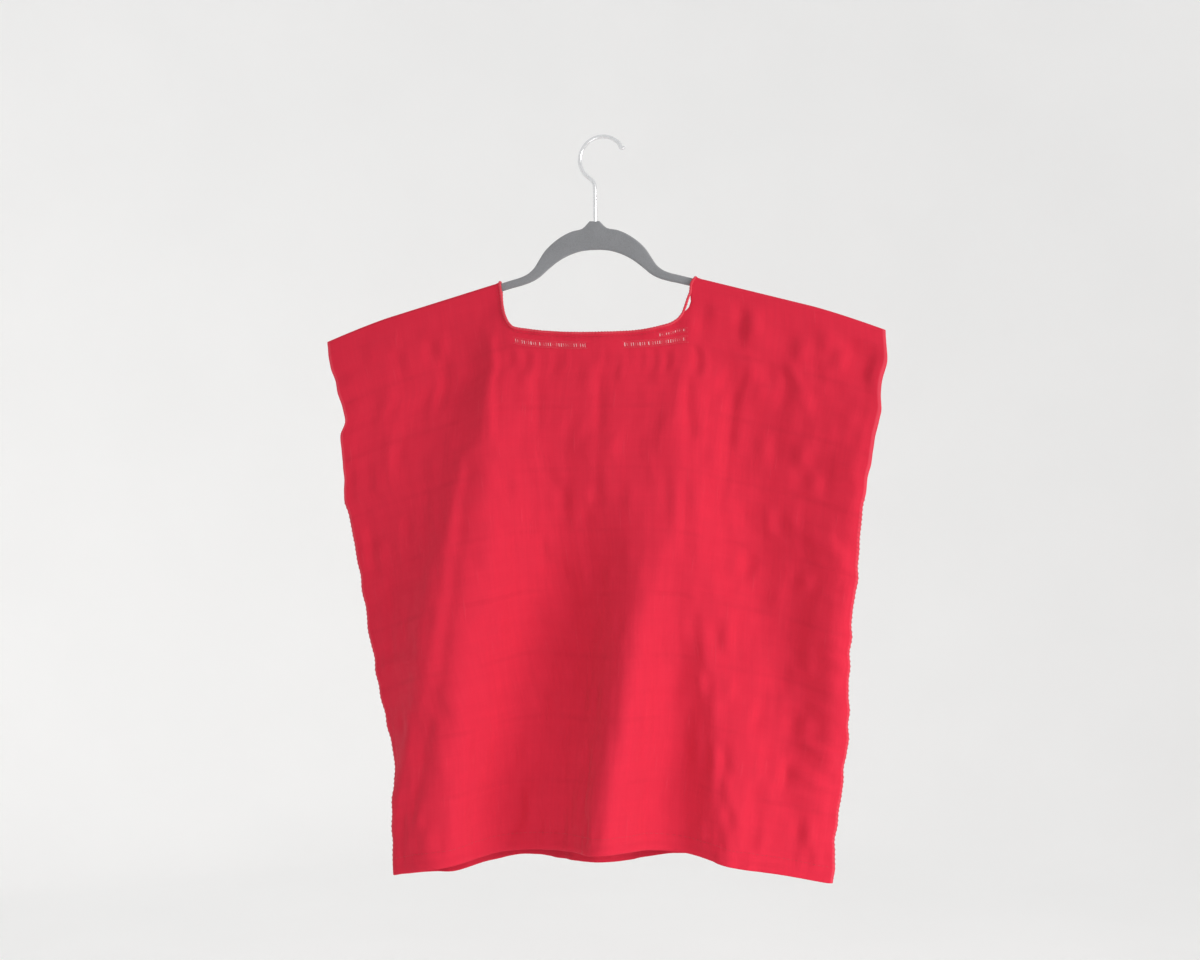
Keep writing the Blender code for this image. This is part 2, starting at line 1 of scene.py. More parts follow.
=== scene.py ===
"""Looks of a huipil blouse hanging on a slim flocked hanger.

The blouse is worked out as a flat cut (p across from its middle line, q down from the
shoulder fold) and draped by the same fold tables as its solids. Creases, puckers and wavy
selvedges are laid over that drape, and the openwork, the rolled neck, the stitches and the
hanger are built on it. Metres, +Z up, +X to the right as seen from the front, +Y to the back.
"""

import math
from collections import namedtuple

import bpy
import numpy as np
from bpy.props import FloatProperty, FloatVectorProperty, PointerProperty
from mathutils import Matrix, Vector


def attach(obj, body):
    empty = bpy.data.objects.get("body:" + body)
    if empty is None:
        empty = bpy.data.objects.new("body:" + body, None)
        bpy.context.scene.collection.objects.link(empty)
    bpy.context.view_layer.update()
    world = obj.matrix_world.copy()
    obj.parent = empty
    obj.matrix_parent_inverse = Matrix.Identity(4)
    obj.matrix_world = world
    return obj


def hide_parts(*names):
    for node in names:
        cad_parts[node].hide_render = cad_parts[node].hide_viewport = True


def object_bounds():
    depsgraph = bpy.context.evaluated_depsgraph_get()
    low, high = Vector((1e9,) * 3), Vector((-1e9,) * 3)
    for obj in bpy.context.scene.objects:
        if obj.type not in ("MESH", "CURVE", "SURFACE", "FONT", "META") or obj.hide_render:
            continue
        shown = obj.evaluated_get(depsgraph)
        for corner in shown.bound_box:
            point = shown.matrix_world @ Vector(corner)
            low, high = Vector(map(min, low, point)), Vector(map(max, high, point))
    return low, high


bl_info = {
    "name": "Huipil blouse on a hanger",
    "version": (1, 0, 0),
    "blender": (4, 5, 0),
    "location": "View3D > Sidebar > Huipil",
    "description": "Dresses the packed blouse and hanger with cloth, stitches and finishes",
    "category": "Object",
}

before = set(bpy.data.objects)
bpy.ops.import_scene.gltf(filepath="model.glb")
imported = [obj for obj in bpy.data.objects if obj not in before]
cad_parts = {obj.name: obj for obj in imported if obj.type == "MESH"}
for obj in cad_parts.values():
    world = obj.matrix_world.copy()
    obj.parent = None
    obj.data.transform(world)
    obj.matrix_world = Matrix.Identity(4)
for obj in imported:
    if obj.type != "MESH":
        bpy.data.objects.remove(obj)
CAD_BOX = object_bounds()

MM = 0.001


def table_of(kind, *values):
    """A table of one kind of row."""
    return tuple(kind(*value) for value in values)


# ---- the cut, as it would lie flat --------------------------------------------------
CUT_WIDTH = 585 * MM
FRONT_LENGTH = 575 * MM
BACK_LENGTH = 592 * MM
ARMHOLE_LENGTH = 178 * MM
HEM_WIDTH = 18 * MM
NECK_ROLL_DIAMETER = 2.6 * MM
NECK_ROLL_LIFT = 1.15 * MM

# ---- how it hangs -------------------------------------------------------------------
CLOTH_CENTRE_X = -7 * MM
TILT = math.radians(0.5)
FOLD_RADIUS = 3.1 * MM
FOLD_BEND = FOLD_RADIUS * math.pi / 2
TIP_FOLD_RADIUS = 1.7 * MM
SHOULDER_TOP_Z = -141.7 * MM
SHOULDER_SLOPE = 0.274
SHOULDER_FLAT_HALF = 94 * MM
SHOULDER_HALF = 285 * MM
DROOP_START = 216 * MM
DROOP = 5.5 * MM
DROOP_CURVE = 1.5
ARMHOLE_CURVE = 1.2
FRONT_HEM_MID_Z = -706 * MM
BACK_HEM_MID_Z = -726 * MM
HEM_CORNER_Z = -737 * MM
HEM_LEVEL_SHARE = 0.2
HEM_CURVE = 1.3

# ---- the hanger and its hook --------------------------------------------------------
HANGER_CENTRE_X = -8 * MM
SHOULDER_OFFSET = CLOTH_CENTRE_X - HANGER_CENTRE_X - SHOULDER_TOP_Z * math.tan(TILT)
HANGER_THICKNESS = 5 * MM
HANGER_HALF_SPAN = 222 * MM
ARM_CLEARANCE = 0.5 * MM
ARM_HEIGHT = 8.3 * MM
ARM_START = 86 * MM
HANGER_EDGE_RADIUS = 2.2 * MM
HANGER_EDGE_TURNS = (0, 18, 36, 54, 72, 90)
OUTLINE_POINTS = 70
ARM_END_STEPS = 16
BOSS_TOP_Z = -83 * MM
# Right half of the crown, millimetres from the hanger's middle: over the boss, the crown's
# shoulder and the swept neck of the arm, then back underneath.
Outline = namedtuple("Outline", "x z")
CROWN_TOP = table_of(
    Outline, (5, -83), (12.5, -90.2), (23, -92.6), (33, -97), (43, -103.8), (51.5, -112),
    (57.5, -121), (62.5, -128.6), (69, -134.2), (77, -137.6),
)
CROWN_UNDERSIDE = table_of(
    Outline, (77, -146.2), (66, -142.8), (57, -138), (48.5, -130.8), (38, -122.8),
    (27, -117), (15, -113.2), (5, -112.1),
)
HOOK_WIRE = 4 * MM
HOOK_RADIUS = 23 * MM
HOOK_SHAFT_X = -8 * MM
HOOK_SHAFT_TOP_Z = -50 * MM
HOOK_START_ANGLE = 214
HOOK_END_ANGLE = 48
HOOK_TIP = (23.5 * MM, -10 * MM)
HOOK_BEND_PULL = 9 * MM
HOOK_END_PULL = 7 * MM
HOOK_TIP_RISE = 2 * MM
HOOK_TIP_TURNS = (22, 45, 67, 88)
HOOK_ARC_POINTS = 90
HOOK_BEND_POINTS = 20

# ---- fold tables, millimetres -------------------------------------------------------
# LEVELS: share of the way from the shoulder fold to the hem.
LEVELS = (0.0, 0.15, 0.30, 0.45, 0.60, 0.75, 0.90, 1.0)
# across: distance from the cloth's centre line at each level, to the right positive.
# out: how far the fold stands out from the side seams' plane at each level.
Fold = namedtuple("Fold", "name across out")

FRONT_FOLDS = table_of(
    Fold,
    ("left shoulder face", (-205, -205, -204, -203, -200, -193, -190, -190),
     (3.1, 6, 11, 16, 19, 20, 20, 19)),
    ("left neck ridge", (-100, -101, -112, -128, -138, -144, -152, -158),
     (3.1, 12, 24, 33, 39, 42, 44, 45)),
    ("left valley", (-50, -50, -49, -36, -56, -85, -104, -107), (3.1, 10, 12, 12, 9, 4, 0, -1)),
    ("centre ridge", (97, 90, 77, 62, 43, 27, 13, 5), (3.1, 13, 25, 37, 48, 57, 65, 68)),
    ("centre valley", (112, 108, 104, 96, 84, 80, 73, 71), (3.1, 10, 18, 26, 26, 22, 19, 18)),
    ("right ridge", (150, 130, 124, 118, 104, 112, 121, 124), (3.1, 7.5, 13, 20, 28, 37, 43, 46)),
    ("right valley", (175, 165, 160, 162, 182, 200, 196, 190), (3.1, 6, 8, 9, 11, 14, 16, 17)),
    ("right edge ridge", (215, 212, 212, 222, 225, 224, 216, 210),
     (3.1, 9, 13, 15, 15, 14, 12, 11)),
)

BACK_FOLDS = table_of(
    Fold,
    ("left edge ridge", (-215, -214, -212, -208, -204, -200, -196, -194),
     (3.1, 9, 15, 20, 24, 26, 27, 27)),
    ("left valley", (-165, -162, -160, -158, -156, -154, -152, -151),
     (3.1, 6, 8, 9, 10, 10, 10, 10)),
    ("left ridge", (-100, -102, -104, -103, -101, -98, -96, -95),
     (3.1, 12, 22, 33, 43, 50, 55, 57)),
    ("centre valley", (0, -2, -3, -4, -5, -6, -6, -6), (3.1, 13, 12, 10, 8, 6, 4, 4)),
    ("right ridge", (100, 101, 103, 103, 100, 96, 93, 92), (3.1, 12, 24, 36, 46, 54, 60, 62)),
    ("right valley", (160, 158, 156, 155, 155, 156, 157, 158), (3.1, 7, 8, 9, 10, 11, 12, 12)),
    ("right edge ridge", (218, 217, 215, 212, 208, 205, 202, 200),
     (3.1, 9, 15, 19, 22, 24, 25, 25)),
)

# How far the crests and valleys are rounded to either side.
FOLD_SOFTNESS = 10.0
# Side edges: share of the way down, and half width from the cloth's centre line.
Edge = namedtuple("Edge", "down half_width")
LEFT_EDGE = table_of(
    Edge, (0.0, 284), (0.06, 277), (0.12, 267), (0.15, 264), (0.18, 267.5), (0.30, 267.5),
    (0.335, 261), (0.43, 253.5), (0.55, 243.5), (0.66, 233), (0.775, 219), (0.81, 217),
    (0.90, 218.5), (1.0, 216),
)
RIGHT_EDGE = table_of(
    Edge, (0.0, 284.5), (0.04, 285.5), (0.12, 277.5), (0.145, 278), (0.20, 271.5),
    (0.33, 259.5), (0.44, 253), (0.60, 243.5), (0.71, 242), (0.82, 235.5), (0.92, 228),
    (1.0, 225),
)
# Where the side seams stand between front and back, to the back positive.
Seam = namedtuple("Seam", "down left right")
SEAM_PLACE = table_of(
    Seam, (0.0, 0, 0), (0.30, 3, 2), (0.60, 6, 4), (0.80, 4, 4), (1.0, 0, 2),
)
# How far the back's hem hangs above or below a smooth curve, at shares from the left corner,
# -1, to the right one, 1.
HemPoint = namedtuple("HemPoint", "across rise")
BACK_HEM_WAVE = table_of(
    HemPoint, (-1.0, 0), (-0.9, -4), (-0.76, -5), (-0.6, 1), (-0.45, 2.5), (-0.25, 1),
    (0.0, 2.5), (0.26, 5.5), (0.48, 3), (0.75, 0), (1.0, 0),
)
# How far the side seams are then drawn forward or back of SEAM_PLACE, to the back positive.
SEAM_PULL = table_of(
    Seam, (0.0, 0, 0), (0.12, -4, -4), (0.28, -5, -24), (0.55, -2, -28), (0.70, -2, -22),
    (0.82, -12, -11), (1.0, -16, -6),
)
SEAM_PULL_REACH = 46.0
LEFT_PULL_ASIDE = 0.24
RIGHT_PULL_ASIDE = 0.08
# How wide the armholes stand open on each side of the seams' plane.
LEFT_ARMHOLE_GAPE = 7 * MM
RIGHT_ARMHOLE_GAPE = 9 * MM

# Finished neck opening on the flat cut: the two sides run down, the base runs across.
SidePoint = namedtuple("SidePoint", "down half_width")
BasePoint = namedtuple("BasePoint", "across down")
Neck = namedtuple("Neck", "left base right")

FRONT_NECK = Neck(
    left=table_of(SidePoint, (0, 99.5), (20, 99.3), (30, 98.4), (38, 96.8), (44.5, 94.6)),
    base=table_of(BasePoint, (-94.6, 44.5), (-90.5, 49.5), (-75, 52.5), (-57, 55),
                  (-40, 56.3), (-20, 57.3), (5, 57.6), (30, 56.8), (48, 55.2), (62, 52.2),
                  (72, 49.2), (79.5, 44.5)),
    right=table_of(SidePoint, (0, 98.5), (4, 95.5), (9, 92.8), (17, 91.3), (25, 87.8),
                   (33, 85.3), (39, 83.5), (44.5, 79.5)),
)
BACK_NECK = Neck(
    left=table_of(SidePoint, (0, 99.5), (25, 103), (48, 103.5), (62, 100)),
    base=table_of(BasePoint, (-100, 62), (-90, 67.5), (-62, 70.5), (0, 72.5), (60, 70.5),
                  (80, 67.5), (88.5, 62)),
    right=table_of(SidePoint, (0, 98.5), (25, 97), (48, 94), (62, 88.5)),
)
# Unsewn slit between the neck roll and the front, on the right side of the neck.
SLIT_START = 15 * MM
SLIT_END = 42 * MM
SLIT_WIDTH = 2.3 * MM
SLIT_TOP_TAPER = 12 * MM
SLIT_FOOT_TAPER = 8 * MM
# Between the roll's middle and the cloth's edge where the slit is open.
SLIT_EXTRA = 1.75 * MM

# ---- creases, millimetres on the flat cut -------------------------------------------
# A crease down the cloth passes q = runs at p = lies; one across passes p = runs at q = lies.
# before and after are its widths on either side, height is how far it stands out.
Crease = namedtuple("Crease", "name runs lies before after height")
# Each crease fades in and out over this share of its run, and over no more than its limit.
CREASE_FADE_SHARE = 0.35
CREASE_FADE_LIMIT = 34
SWELL_FADE_LIMIT = 200

FRONT_DOWN_CREASES = table_of(
    Crease,
    # beside the left neck point: a sharp pleat that parts into two lower down
    ("left neck pleat", (40, 68, 99, 135, 172), (-110, -115, -115, -112, -110), 13, 4, 3.9),
    ("left pleat's straight foot", (135, 190, 252, 291, 350),
     (-114, -118, -120, -124, -140), 9, 11, 2.0),
    ("left pleat's long foot", (150, 184, 246, 309, 386, 452, 530),
     (-130, -147, -166, -183, -209, -248, -276), 18, 8, 1.4),
    ("left long trough", (165, 212, 275, 347, 419, 452, 492, 550),
     (-127, -146, -158, -179, -206, -224, -234, -246), 8, 9, -2.1),
    # left shoulder and side
    ("left shoulder ridge", (55, 109, 153, 205), (-243, -237, -233, -233), 9, 10, 1.9),
    ("left shoulder tuck", (52, 88, 124), (-171, -175, -172), 6, 6, -1.5),
    ("left side dent", (203, 235, 268), (-272, -272, -272), 8, 8, -1.6),
    ("left side slant", (250, 285, 320), (-246, -252, -257), 8, 14, -1.9),
    ("lower left ridge", (436, 466, 498), (-113, -112, -110), 8, 8, 1.2),
    ("lower left trough", (478, 512, 550), (-139, -139, -137), 8, 8, -1.4),
    # middle
    ("middle left tuck", (194, 214, 238), (-100, -101, -101), 6, 6, -1.1),
    ("middle left tuck, lower", (254, 275, 300), (-99, -99, -99), 5, 6, -1.0),
    ("small trough high", (86, 104, 146, 168), (-66, -66, -63, -62), 6, 6, -1.1),
    ("small trough low", (252, 272, 294), (-65, -66, -65), 5, 5, -1.0),
    ("middle dent", (322, 340, 366), (-84, -80, -75), 9, 8, -1.4),
    ("middle dent's ridge", (320, 345, 374), (-64, -59, -53), 7, 7, 1.2),
    ("soft middle trough", (156, 188, 228), (-32, -31, -36), 12, 12, -1.1),
    ("pressed middle line", (84, 105, 146, 178), (-1, 0, 4, 5), 4, 8, -1.6),
    ("pressed middle line, lower", (172, 192, 232), (3, 3, 0), 4, 6, -0.8),
    ("low middle line", (464, 484, 525, 548), (-24, -24, -25, -27), 4, 4, -1.1),
    # from the right neck corner down
    ("right neck ridge", (66, 107, 140, 175), (82, 83, 85, 84), 13, 6, 2.2),
    ("right neck furrow", (96, 120, 144, 166), (94, 95, 98, 101), 5, 5, -2.0),
    ("second neck ridge", (98, 120, 150, 182), (102, 108, 112, 112), 6, 8, 1.8),
    ("long furrow", (186, 204, 244, 300), (96, 97, 98, 104), 6, 5, -1.4),
    ("long furrow's ridge", (184, 204, 240, 292), (107, 108, 112, 119), 6, 12, 1.2),
    ("corner tuck", (63, 80, 106), (97, 98, 100), 4.5, 4.5, -1.9),
    ("corner pleat", (62, 80, 108), (107, 108, 109), 4, 4, 1.6),
    ("trough beside the neck", (82, 134, 174, 216, 250), (142, 144, 145, 138, 134), 9, 5.5, -1.9),
    # right shoulder
    ("shoulder ridge", (7, 25, 54), (156, 158, 159), 8, 8, 1.9),
    ("shoulder ridge, lower", (60, 78, 102), (157, 158, 158), 7, 6, 1.8),
    ("shoulder dent", (64, 80, 98), (177, 177, 176), 8, 9, -1.5),
    ("shoulder slant", (48, 70, 90, 128), (190, 200, 212, 230), 9, 8, 2.8),
    ("shoulder tip's hollow", (14, 40, 78), (262, 264, 268), 16, 16, -2.2),
    ("right edge's crest", (84, 112, 140), (262, 262, 264), 9, 9, 1.6),
    ("shoulder slant's dent", (50, 68, 88), (226, 228, 233), 8, 8, -1.4),
    ("outer shoulder ridge", (6, 20, 52), (223, 226, 233), 7, 8, 1.8),
    ("outer shoulder dent", (6, 18, 44), (243, 246, 256), 7, 12, -1.4),
    ("right side ridge", (108, 132, 162), (222, 228, 240), 12, 8, 1.6),
    # lower right
    ("slanting pleat", (262, 325, 360, 395, 430, 470, 512),
     (97, 117, 128, 134, 138, 143, 149), 15, 10, 1.3),
    ("low right slant", (466, 490, 510, 540), (154, 162, 171, 188), 8, 8, 1.9),
    ("low right trough", (482, 505, 533, 566), (197, 199, 205, 207), 7, 7, -1.9),
    ("low right ridge", (466, 490, 520, 556), (209, 212, 222, 229), 7, 9, 1.6),
    # small tucks under the neck and at the hem
    ("neck tuck 1", (68, 82, 104), (-81, -81, -81), 4.5, 4.5, -1.2),
    ("neck tuck 2", (68, 80, 96), (-97, -97, -98), 4, 4, -1.1),
    ("neck tuck 3", (68, 80, 98), (3, 4, 4), 4.5, 5, -0.9),
    ("neck tuck 4", (70, 84, 104), (39, 40, 41), 4, 4, -1.0),
    ("neck tuck 5", (70, 84, 104), (54, 55, 56), 4.5, 5, -1.2),
    ("neck tuck 6", (68, 84, 110), (-70, -71, -71), 4, 4, 1.2),
    ("neck tuck 7", (70, 86, 106), (-50, -50, -51), 4, 4.5, -1.1),
    ("neck tuck 8", (70, 82, 100), (-37, -37, -38), 4, 4, 0.9),
    ("neck tuck 9", (72, 88, 112), (22, 23, 24), 4, 4.5, 1.1),
    ("neck tuck 10", (72, 86, 106), (66, 67, 68), 4, 4, -1.3),
    ("neck tuck 11", (70, 84, 102), (76, 76, 77), 4, 4, 1.1),
    ("hem tuck 1", (536, 556, 575), (-63, -64, -65), 5, 5, -1.2),
    ("hem tuck 2", (534, 552, 575), (-16, -15, -15), 5, 5, -1.1),
    ("hem tuck 3", (540, 558, 575), (-172, -171, -170), 5, 5, -1.1),
)
FRONT_SWELLS = table_of(
    Crease,
    ("left shoulder's swell", (-80, 60, 260), (-226, -226, -228), 46, 60, 5.0),
    ("left pleat's swell", (-60, 60, 121, 188, 244, 320, 400, 480, 760),
     (-88, -96, -110, -131, -159, -193, -223, -256, -288), 34, 74, 11.0),
    ("left valley's floor", (190, 400, 500, 820), (-44, -44, -44, -44), 66, 118, -23.0),
    ("centre fold's crest", (250, 380, 500, 760), (66, 40, 22, 6), 44, 44, 10.0),
    ("beside the long furrow", (40, 120, 220, 400), (122, 124, 128, 140), 44, 40, 4.0),
    ("middle swell", (-20, 60, 140, 300), (0, 0, 0, 0), 62, 60, 6.5),
    ("beside the neck", (-20, 90, 150, 300), (148, 150, 150, 150), 40, 60, 3.0),
    ("right shoulder's hollow", (20, 120, 220, 380), (140, 142, 146, 156), 30, 36, -6.5),
    ("right fold's face", (300, 450, 520, 800), (130, 136, 140, 142), 66, 96, -8.0),
)
BACK_SWELLS = ()
FRONT_CROSS_CREASES = table_of(
    Crease,
    ("right shoulder fold", (230, 256, 288), (92, 102, 108), 10, 9, 2.0),
    ("right side fold", (212, 253, 290), (227, 234, 238), 9, 9, 3.2),
    ("right side fold 2", (250, 272, 292), (340, 345, 350), 8, 8, 2.0),
    ("right side fold 3", (232, 262, 292), (398, 402, 406), 8, 8, 2.8),
    ("right side fold 4", (228, 262, 292), (439, 444, 449), 8, 8, 2.8),
    ("right side fold 5", (236, 262, 292), (472, 477, 481), 7, 7, 2.1),
    ("left side fold", (-290, -252, -208), (352, 360, 362), 7, 12, 2.2),
    ("left side ripple", (-292, -268, -240), (196, 192, 186), 7, 6, -0.9),
)
BACK_DOWN_CREASES = table_of(
    Crease,
    ("left pleat", (60, 110, 170, 250, 330, 420), (-106, -108, -112, -121, -133, -140), 8, 5, 2.6),
    ("left trough", (110, 200, 300, 390, 470), (-98, -101, -111, -121, -128), 7, 8, -1.8),
    ("short left trough", (150, 220, 290), (-171, -176, -184), 8, 7, -1.5),
    ("left shoulder tuck", (34, 60, 92), (-205, -203, -200), 7, 7, 1.5),
    ("left shoulder dent", (20, 48, 84), (-154, -153, -151), 8, 7, -1.5),
    ("pressed middle line", (96, 130, 200, 250), (2, 4, 1, -3), 4, 7, -1.4),
    ("middle left tuck", (180, 206, 236), (-47, -46, -44), 6, 7, -1.1),
    ("middle right tuck", (262, 290, 330), (31, 33, 36), 6, 6, -1.1),
    ("low middle line", (430, 470, 512), (-13, -12, -12), 5, 5, -1.1),
    ("right pleat", (74, 110, 150, 230, 320), (102, 105, 109, 121, 133), 7, 5, 2.6),
    ("right trough", (100, 160, 240, 330, 410), (92, 97, 108, 118, 121), 7, 8, -1.9),
    ("outer right trough", (180, 260, 350, 430), (196, 190, 184, 181), 9, 8, -1.5),
    ("right shoulder ridge", (24, 52, 92), (178, 180, 181), 8, 7, 1.8),
    ("right shoulder dent", (40, 66, 96), (226, 226, 229), 8, 8, -1.5),
    ("right side ridge", (118, 146, 188), (238, 240, 246), 10, 8, 1.5),
    ("lower left pleat", (380, 450, 520, 580), (-71, -76, -84, -88), 7, 7, 1.8),
    ("lower right pleat", (360, 430, 510, 585), (58, 61, 69, 73), 8, 6, 1.9),
    ("low left slant", (470, 500, 548), (-186, -190, -199), 8, 8, 1.8),
    ("low right dent", (490, 520, 566), (168, 170, 174), 7, 7, -1.6),
    ("neck tuck 1", (84, 98, 118), (-70, -70, -71), 4.5, 4.5, -1.1),
    ("neck tuck 2", (84, 98, 112), (-34, -34, -33), 4, 4, -0.9),
    ("neck tuck 3", (86, 100, 122), (46, 46, 47), 4, 4, -1.1),
    ("neck tuck 4", (82, 98, 116), (79, 80, 80), 4.5, 4.5, -1.1),
    ("hem tuck 1", (552, 572, 592), (-122, -122, -123), 5, 5, -1.2),
    ("hem tuck 2", (550, 570, 592), (24, 25, 26), 4, 4, -1.4),
)
BACK_CROSS_CREASES = table_of(
    Crease,
    ("left shoulder fold", (-290, -262, -234), (118, 112, 106), 9, 9, 1.9),
    ("left side fold", (-292, -262, -222), (240, 236, 230), 9, 8, 2.8),
    ("left side fold 2", (-292, -262, -234), (404, 400, 396), 8, 8, 2.4),
    ("left side fold 3", (-292, -262, -238), (463, 460, 455), 8, 7, 2.2),
    ("right side fold", (228, 264, 292), (281, 286, 291), 8, 8, 2.5),
    ("right side fold 2", (226, 264, 292), (445, 449, 453), 8, 8, 2.4),
)
# How deep the cloth puckers between its ribs at the left side, the middle and the right.
Pucker = namedtuple("Pucker", "down left middle right")
PUCKER_DEPTH = table_of(
    Pucker, (0.0, 1.3, 1.2, 2.9), (0.35, 1.4, 1.4, 2.5), (0.65, 1.4, 1.3, 2.3),
    (1.0, 1.7, 1.6, 2.8),
)
# Where the pucker depth passes from one column of the table to the next, across the cloth.
LEFT_TO_MIDDLE = (-200, 0)
MIDDLE_TO_RIGHT = (40, 170)
RIB_FIRST = 8.4
RIB_PITCH = 62.2
PUCKER_SPACING = 13.0
PUCKER_LENGTH = 25.0
PUCKER_AT_RIB = 0.4
# A second, broader set of puckers: its share, and how much wider and longer it is.
BROAD_PUCKER = 0.6
BROAD_PUCKER_WIDTH = 1.8
BROAD_PUCKER_LENGTH = 3
# How far the puckers wander off straight lines, and over what distances.
Wobble = namedtuple("Wobble", "reach across down")
ACROSS_WOBBLE = Wobble(5, 60, 44)
DOWN_WOBBLE = Wobble(4, 50, 60)
# Ripples that run out to the side seams, lower at the seam than the ribs are.
RIPPLE_SPACING = 10.0
RIPPLE_LENGTH = 44.0
RIPPLE_SLANT = 0.06
LEFT_RIPPLE = 0.5
RIGHT_RIPPLE = 1.1
RIPPLE_TOP = (130, 220)
LEFT_RIPPLE_FADE = (150, 250)
RIGHT_RIPPLE_FADE = (110, 220)
STREAK_SPACING = 6.0
STREAK_LENGTH = 90
STREAK_DEPTH = 0.10
SWELL_SPACING = 60.0
SWELL_DEPTH = 0.9
HEM_PUCKER_SPACING = 5.5
HEM_PUCKER_DEPTH = 0.55
HEM_PUCKER_WIDTH = 12
# The relief fades out towards the selvedges and the shoulder fold.
SELVEDGE_FADE = (0, 16)
SHOULDER_FADE = (6, 38)
EDGE_WAVE_SPACING = 15.0
EDGE_WAVE = 1.3 * MM
EDGE_RIPPLE_SPACING = 14.0
EDGE_RIPPLE = 1.5 * MM
EDGE_REACH = 26.0
EDGE_WAVE_TOP = (0, 24)
EDGE_CALM = (540, 575)

# ---- openwork -----------------------------------------------------------------------
# The hemstitched line under the front neck edge, on the flat cut.
OPENWORK_LINE = table_of(
    BasePoint, (-100, 62), (-76, 67), (-55, 69), (-14, 71), (20, 71), (51, 70), (87, 66),
)
# Holes show left and right of the middle, where the row is drawn tight.
Stretch = namedtuple("Stretch", "start end")
OPENWORK_STRETCHES = (Stretch(-91 * MM, -15 * MM), Stretch(24 * MM, 90 * MM))
OPENWORK_HEIGHT = 4.4 * MM
OPENWORK_PITCH = 2.3 * MM
# A short second row by the right corner, part of the way from the neck edge to the line.
SECOND_ROW_START = 61 * MM
SECOND_ROW_END = 90 * MM
SECOND_ROW_PLACE = 0.62
SECOND_ROW_HEIGHT = 3.0 * MM
BACK_LINE_DROP = 15 * MM

# ---- sewing -------------------------------------------------------------------------
HEM_RISE = 0.35 * MM
HEM_RISE_HALF = 1 * MM
HEM_DIP = 0.3 * MM
HEM_DIP_WIDTH = 1.6 * MM
HEM_STITCH_DROP = 2 * MM
HEM_STITCH_DRIFT = 0.25 * MM
BAND_RISE = 0.45 * MM
BAND_FALL = (0.6 * MM, 0.8 * MM)
BAND_DIP = 0.6 * MM
BAND_DIP_WIDTH = 1.1 * MM
BAND_STITCH_SHARE = 0.8
BAND_STITCH_START = 6 * MM
# The roll is a little lumpy between the turns of its thread, spacings in millimetres.
ROLL_SPACING = 0.8
ROLL_LUMP = 0.07
ROLL_LUMP_SPACING = 4
ROLL_RIPPLE = 0.05
ROLL_RIPPLE_SPACING = 3.2
OVERSEW_SPACING = 0.3
OVERSEW_LIFT = 0.12 * MM
# A running stitch: shares of its length, and how far it lies over the cloth at each.
STITCH_SHARES = (0.0, 0.18, 0.5, 0.82, 1.0)
STITCH_LIFTS = (-0.12, 0.16, 0.24, 0.16, -0.12)
STITCH_UNEVENNESS = 0.25
# The side stitches: how far in from the selvedge they start and rise, and how they slant.
SIDE_STITCH_INNER = 2.8 * MM
SIDE_STITCH_OUTER = 1.2 * MM
SIDE_STITCH_SLANT = 0.0022
SIDE_STITCH_END = 0.992
SIDE_STITCH_LIFT = 0.28 * MM
SIDE_STITCH_SINK = 0.15 * MM
SIDE_STITCH_OVERHANG = 0.75 * MM
SIDE_STITCH_POINTS = 13
# A bundle of the openwork: where its strands run down and across, and how deep they lie.
STRAND_SHARES = (-0.85, -0.5, 0.0, 0.5, 0.85)
STRAND_SPREAD = (0.80, 0.74, 0.69, 0.74, 0.80)
STRAND_DEPTH = (0.9, 0.6, 0.55, 0.6, 0.9)
STRAND_DRAWN = 0.97
STRAND_DRAWN_DRIFT = 0.08
KNOT_ACROSS = (-0.5, -0.25, 0.0, 0.25, 0.5)
KNOT_DEPTH = 0.6
BUNDLE_DRIFT = 0.35 * MM
HEM_THREAD_RADIUS = 0.2 * MM
BAND_THREAD_RADIUS = 0.18 * MM
OVERSEW_THREAD_RADIUS = 0.24 * MM
SIDE_THREAD_RADIUS = 0.22 * MM
STRAND_RADIUS = 0.40 * MM

# ---- mesh density -------------------------------------------------------------------
SHOULDER_COLUMNS = 70
NECK_COLUMNS = 76
ROWS_FOLD = 8
ROWS_NECK = 24
ROWS_TO_SECOND = 5
ROWS_TO_LINE = 3
ROWS_BODY = 174
ROWS_HEM = 6
# Columns crowd a little towards the neck: how much on the shoulders, and how evenly between.
SHOULDER_CROWDING = 0.95
NECK_EVENNESS = 0.75
CORNER_SHARE = 0.7
HEM_STEP = 0.7 * MM
NECK_SIDE_POINTS = 60
NECK_BASE_POINTS = 160
CORNER_PASSES = 12
ROLL_PASSES = 4
DRAPE_LEVELS = 161
DRAPE_SAMPLES = 601
DRAPE_STEP = 2.5 * MM
NORMAL_STEP = 1.6 * MM
SHARP_ANGLE = math.radians(70)


# ---- small helpers ------------------------------------------------------------------
def smooth_curve(knots, values, at):
    """Cubic curve through the knots that never overshoots them."""
    knots = np.asarray(knots, float)
    values = np.asarray(values, float)
    steps = np.diff(knots)
    slopes = np.diff(values) / steps
    tangents = np.zeros_like(values)
    tangents[0] = slopes[0]
    tangents[-1] = slopes[-1]
    for i in range(1, len(values) - 1):
        before, after = slopes[i - 1], slopes[i]
        if before * after > 0:
            tangents[i] = 2 * before * after / (before + after)
    at = np.clip(np.asarray(at, float), knots[0], knots[-1])
    cell = np.clip(np.searchsorted(knots, at, side="right") - 1, 0, len(steps) - 1)
    t = (at - knots[cell]) / steps[cell]
    start = (1 + 2 * t) * (1 - t) ** 2 * values[cell]
    start += t * (1 - t) ** 2 * steps[cell] * tangents[cell]
    end = t ** 2 * (3 - 2 * t) * values[cell + 1]
    end += t ** 2 * (t - 1) * steps[cell] * tangents[cell + 1]
    return start + end


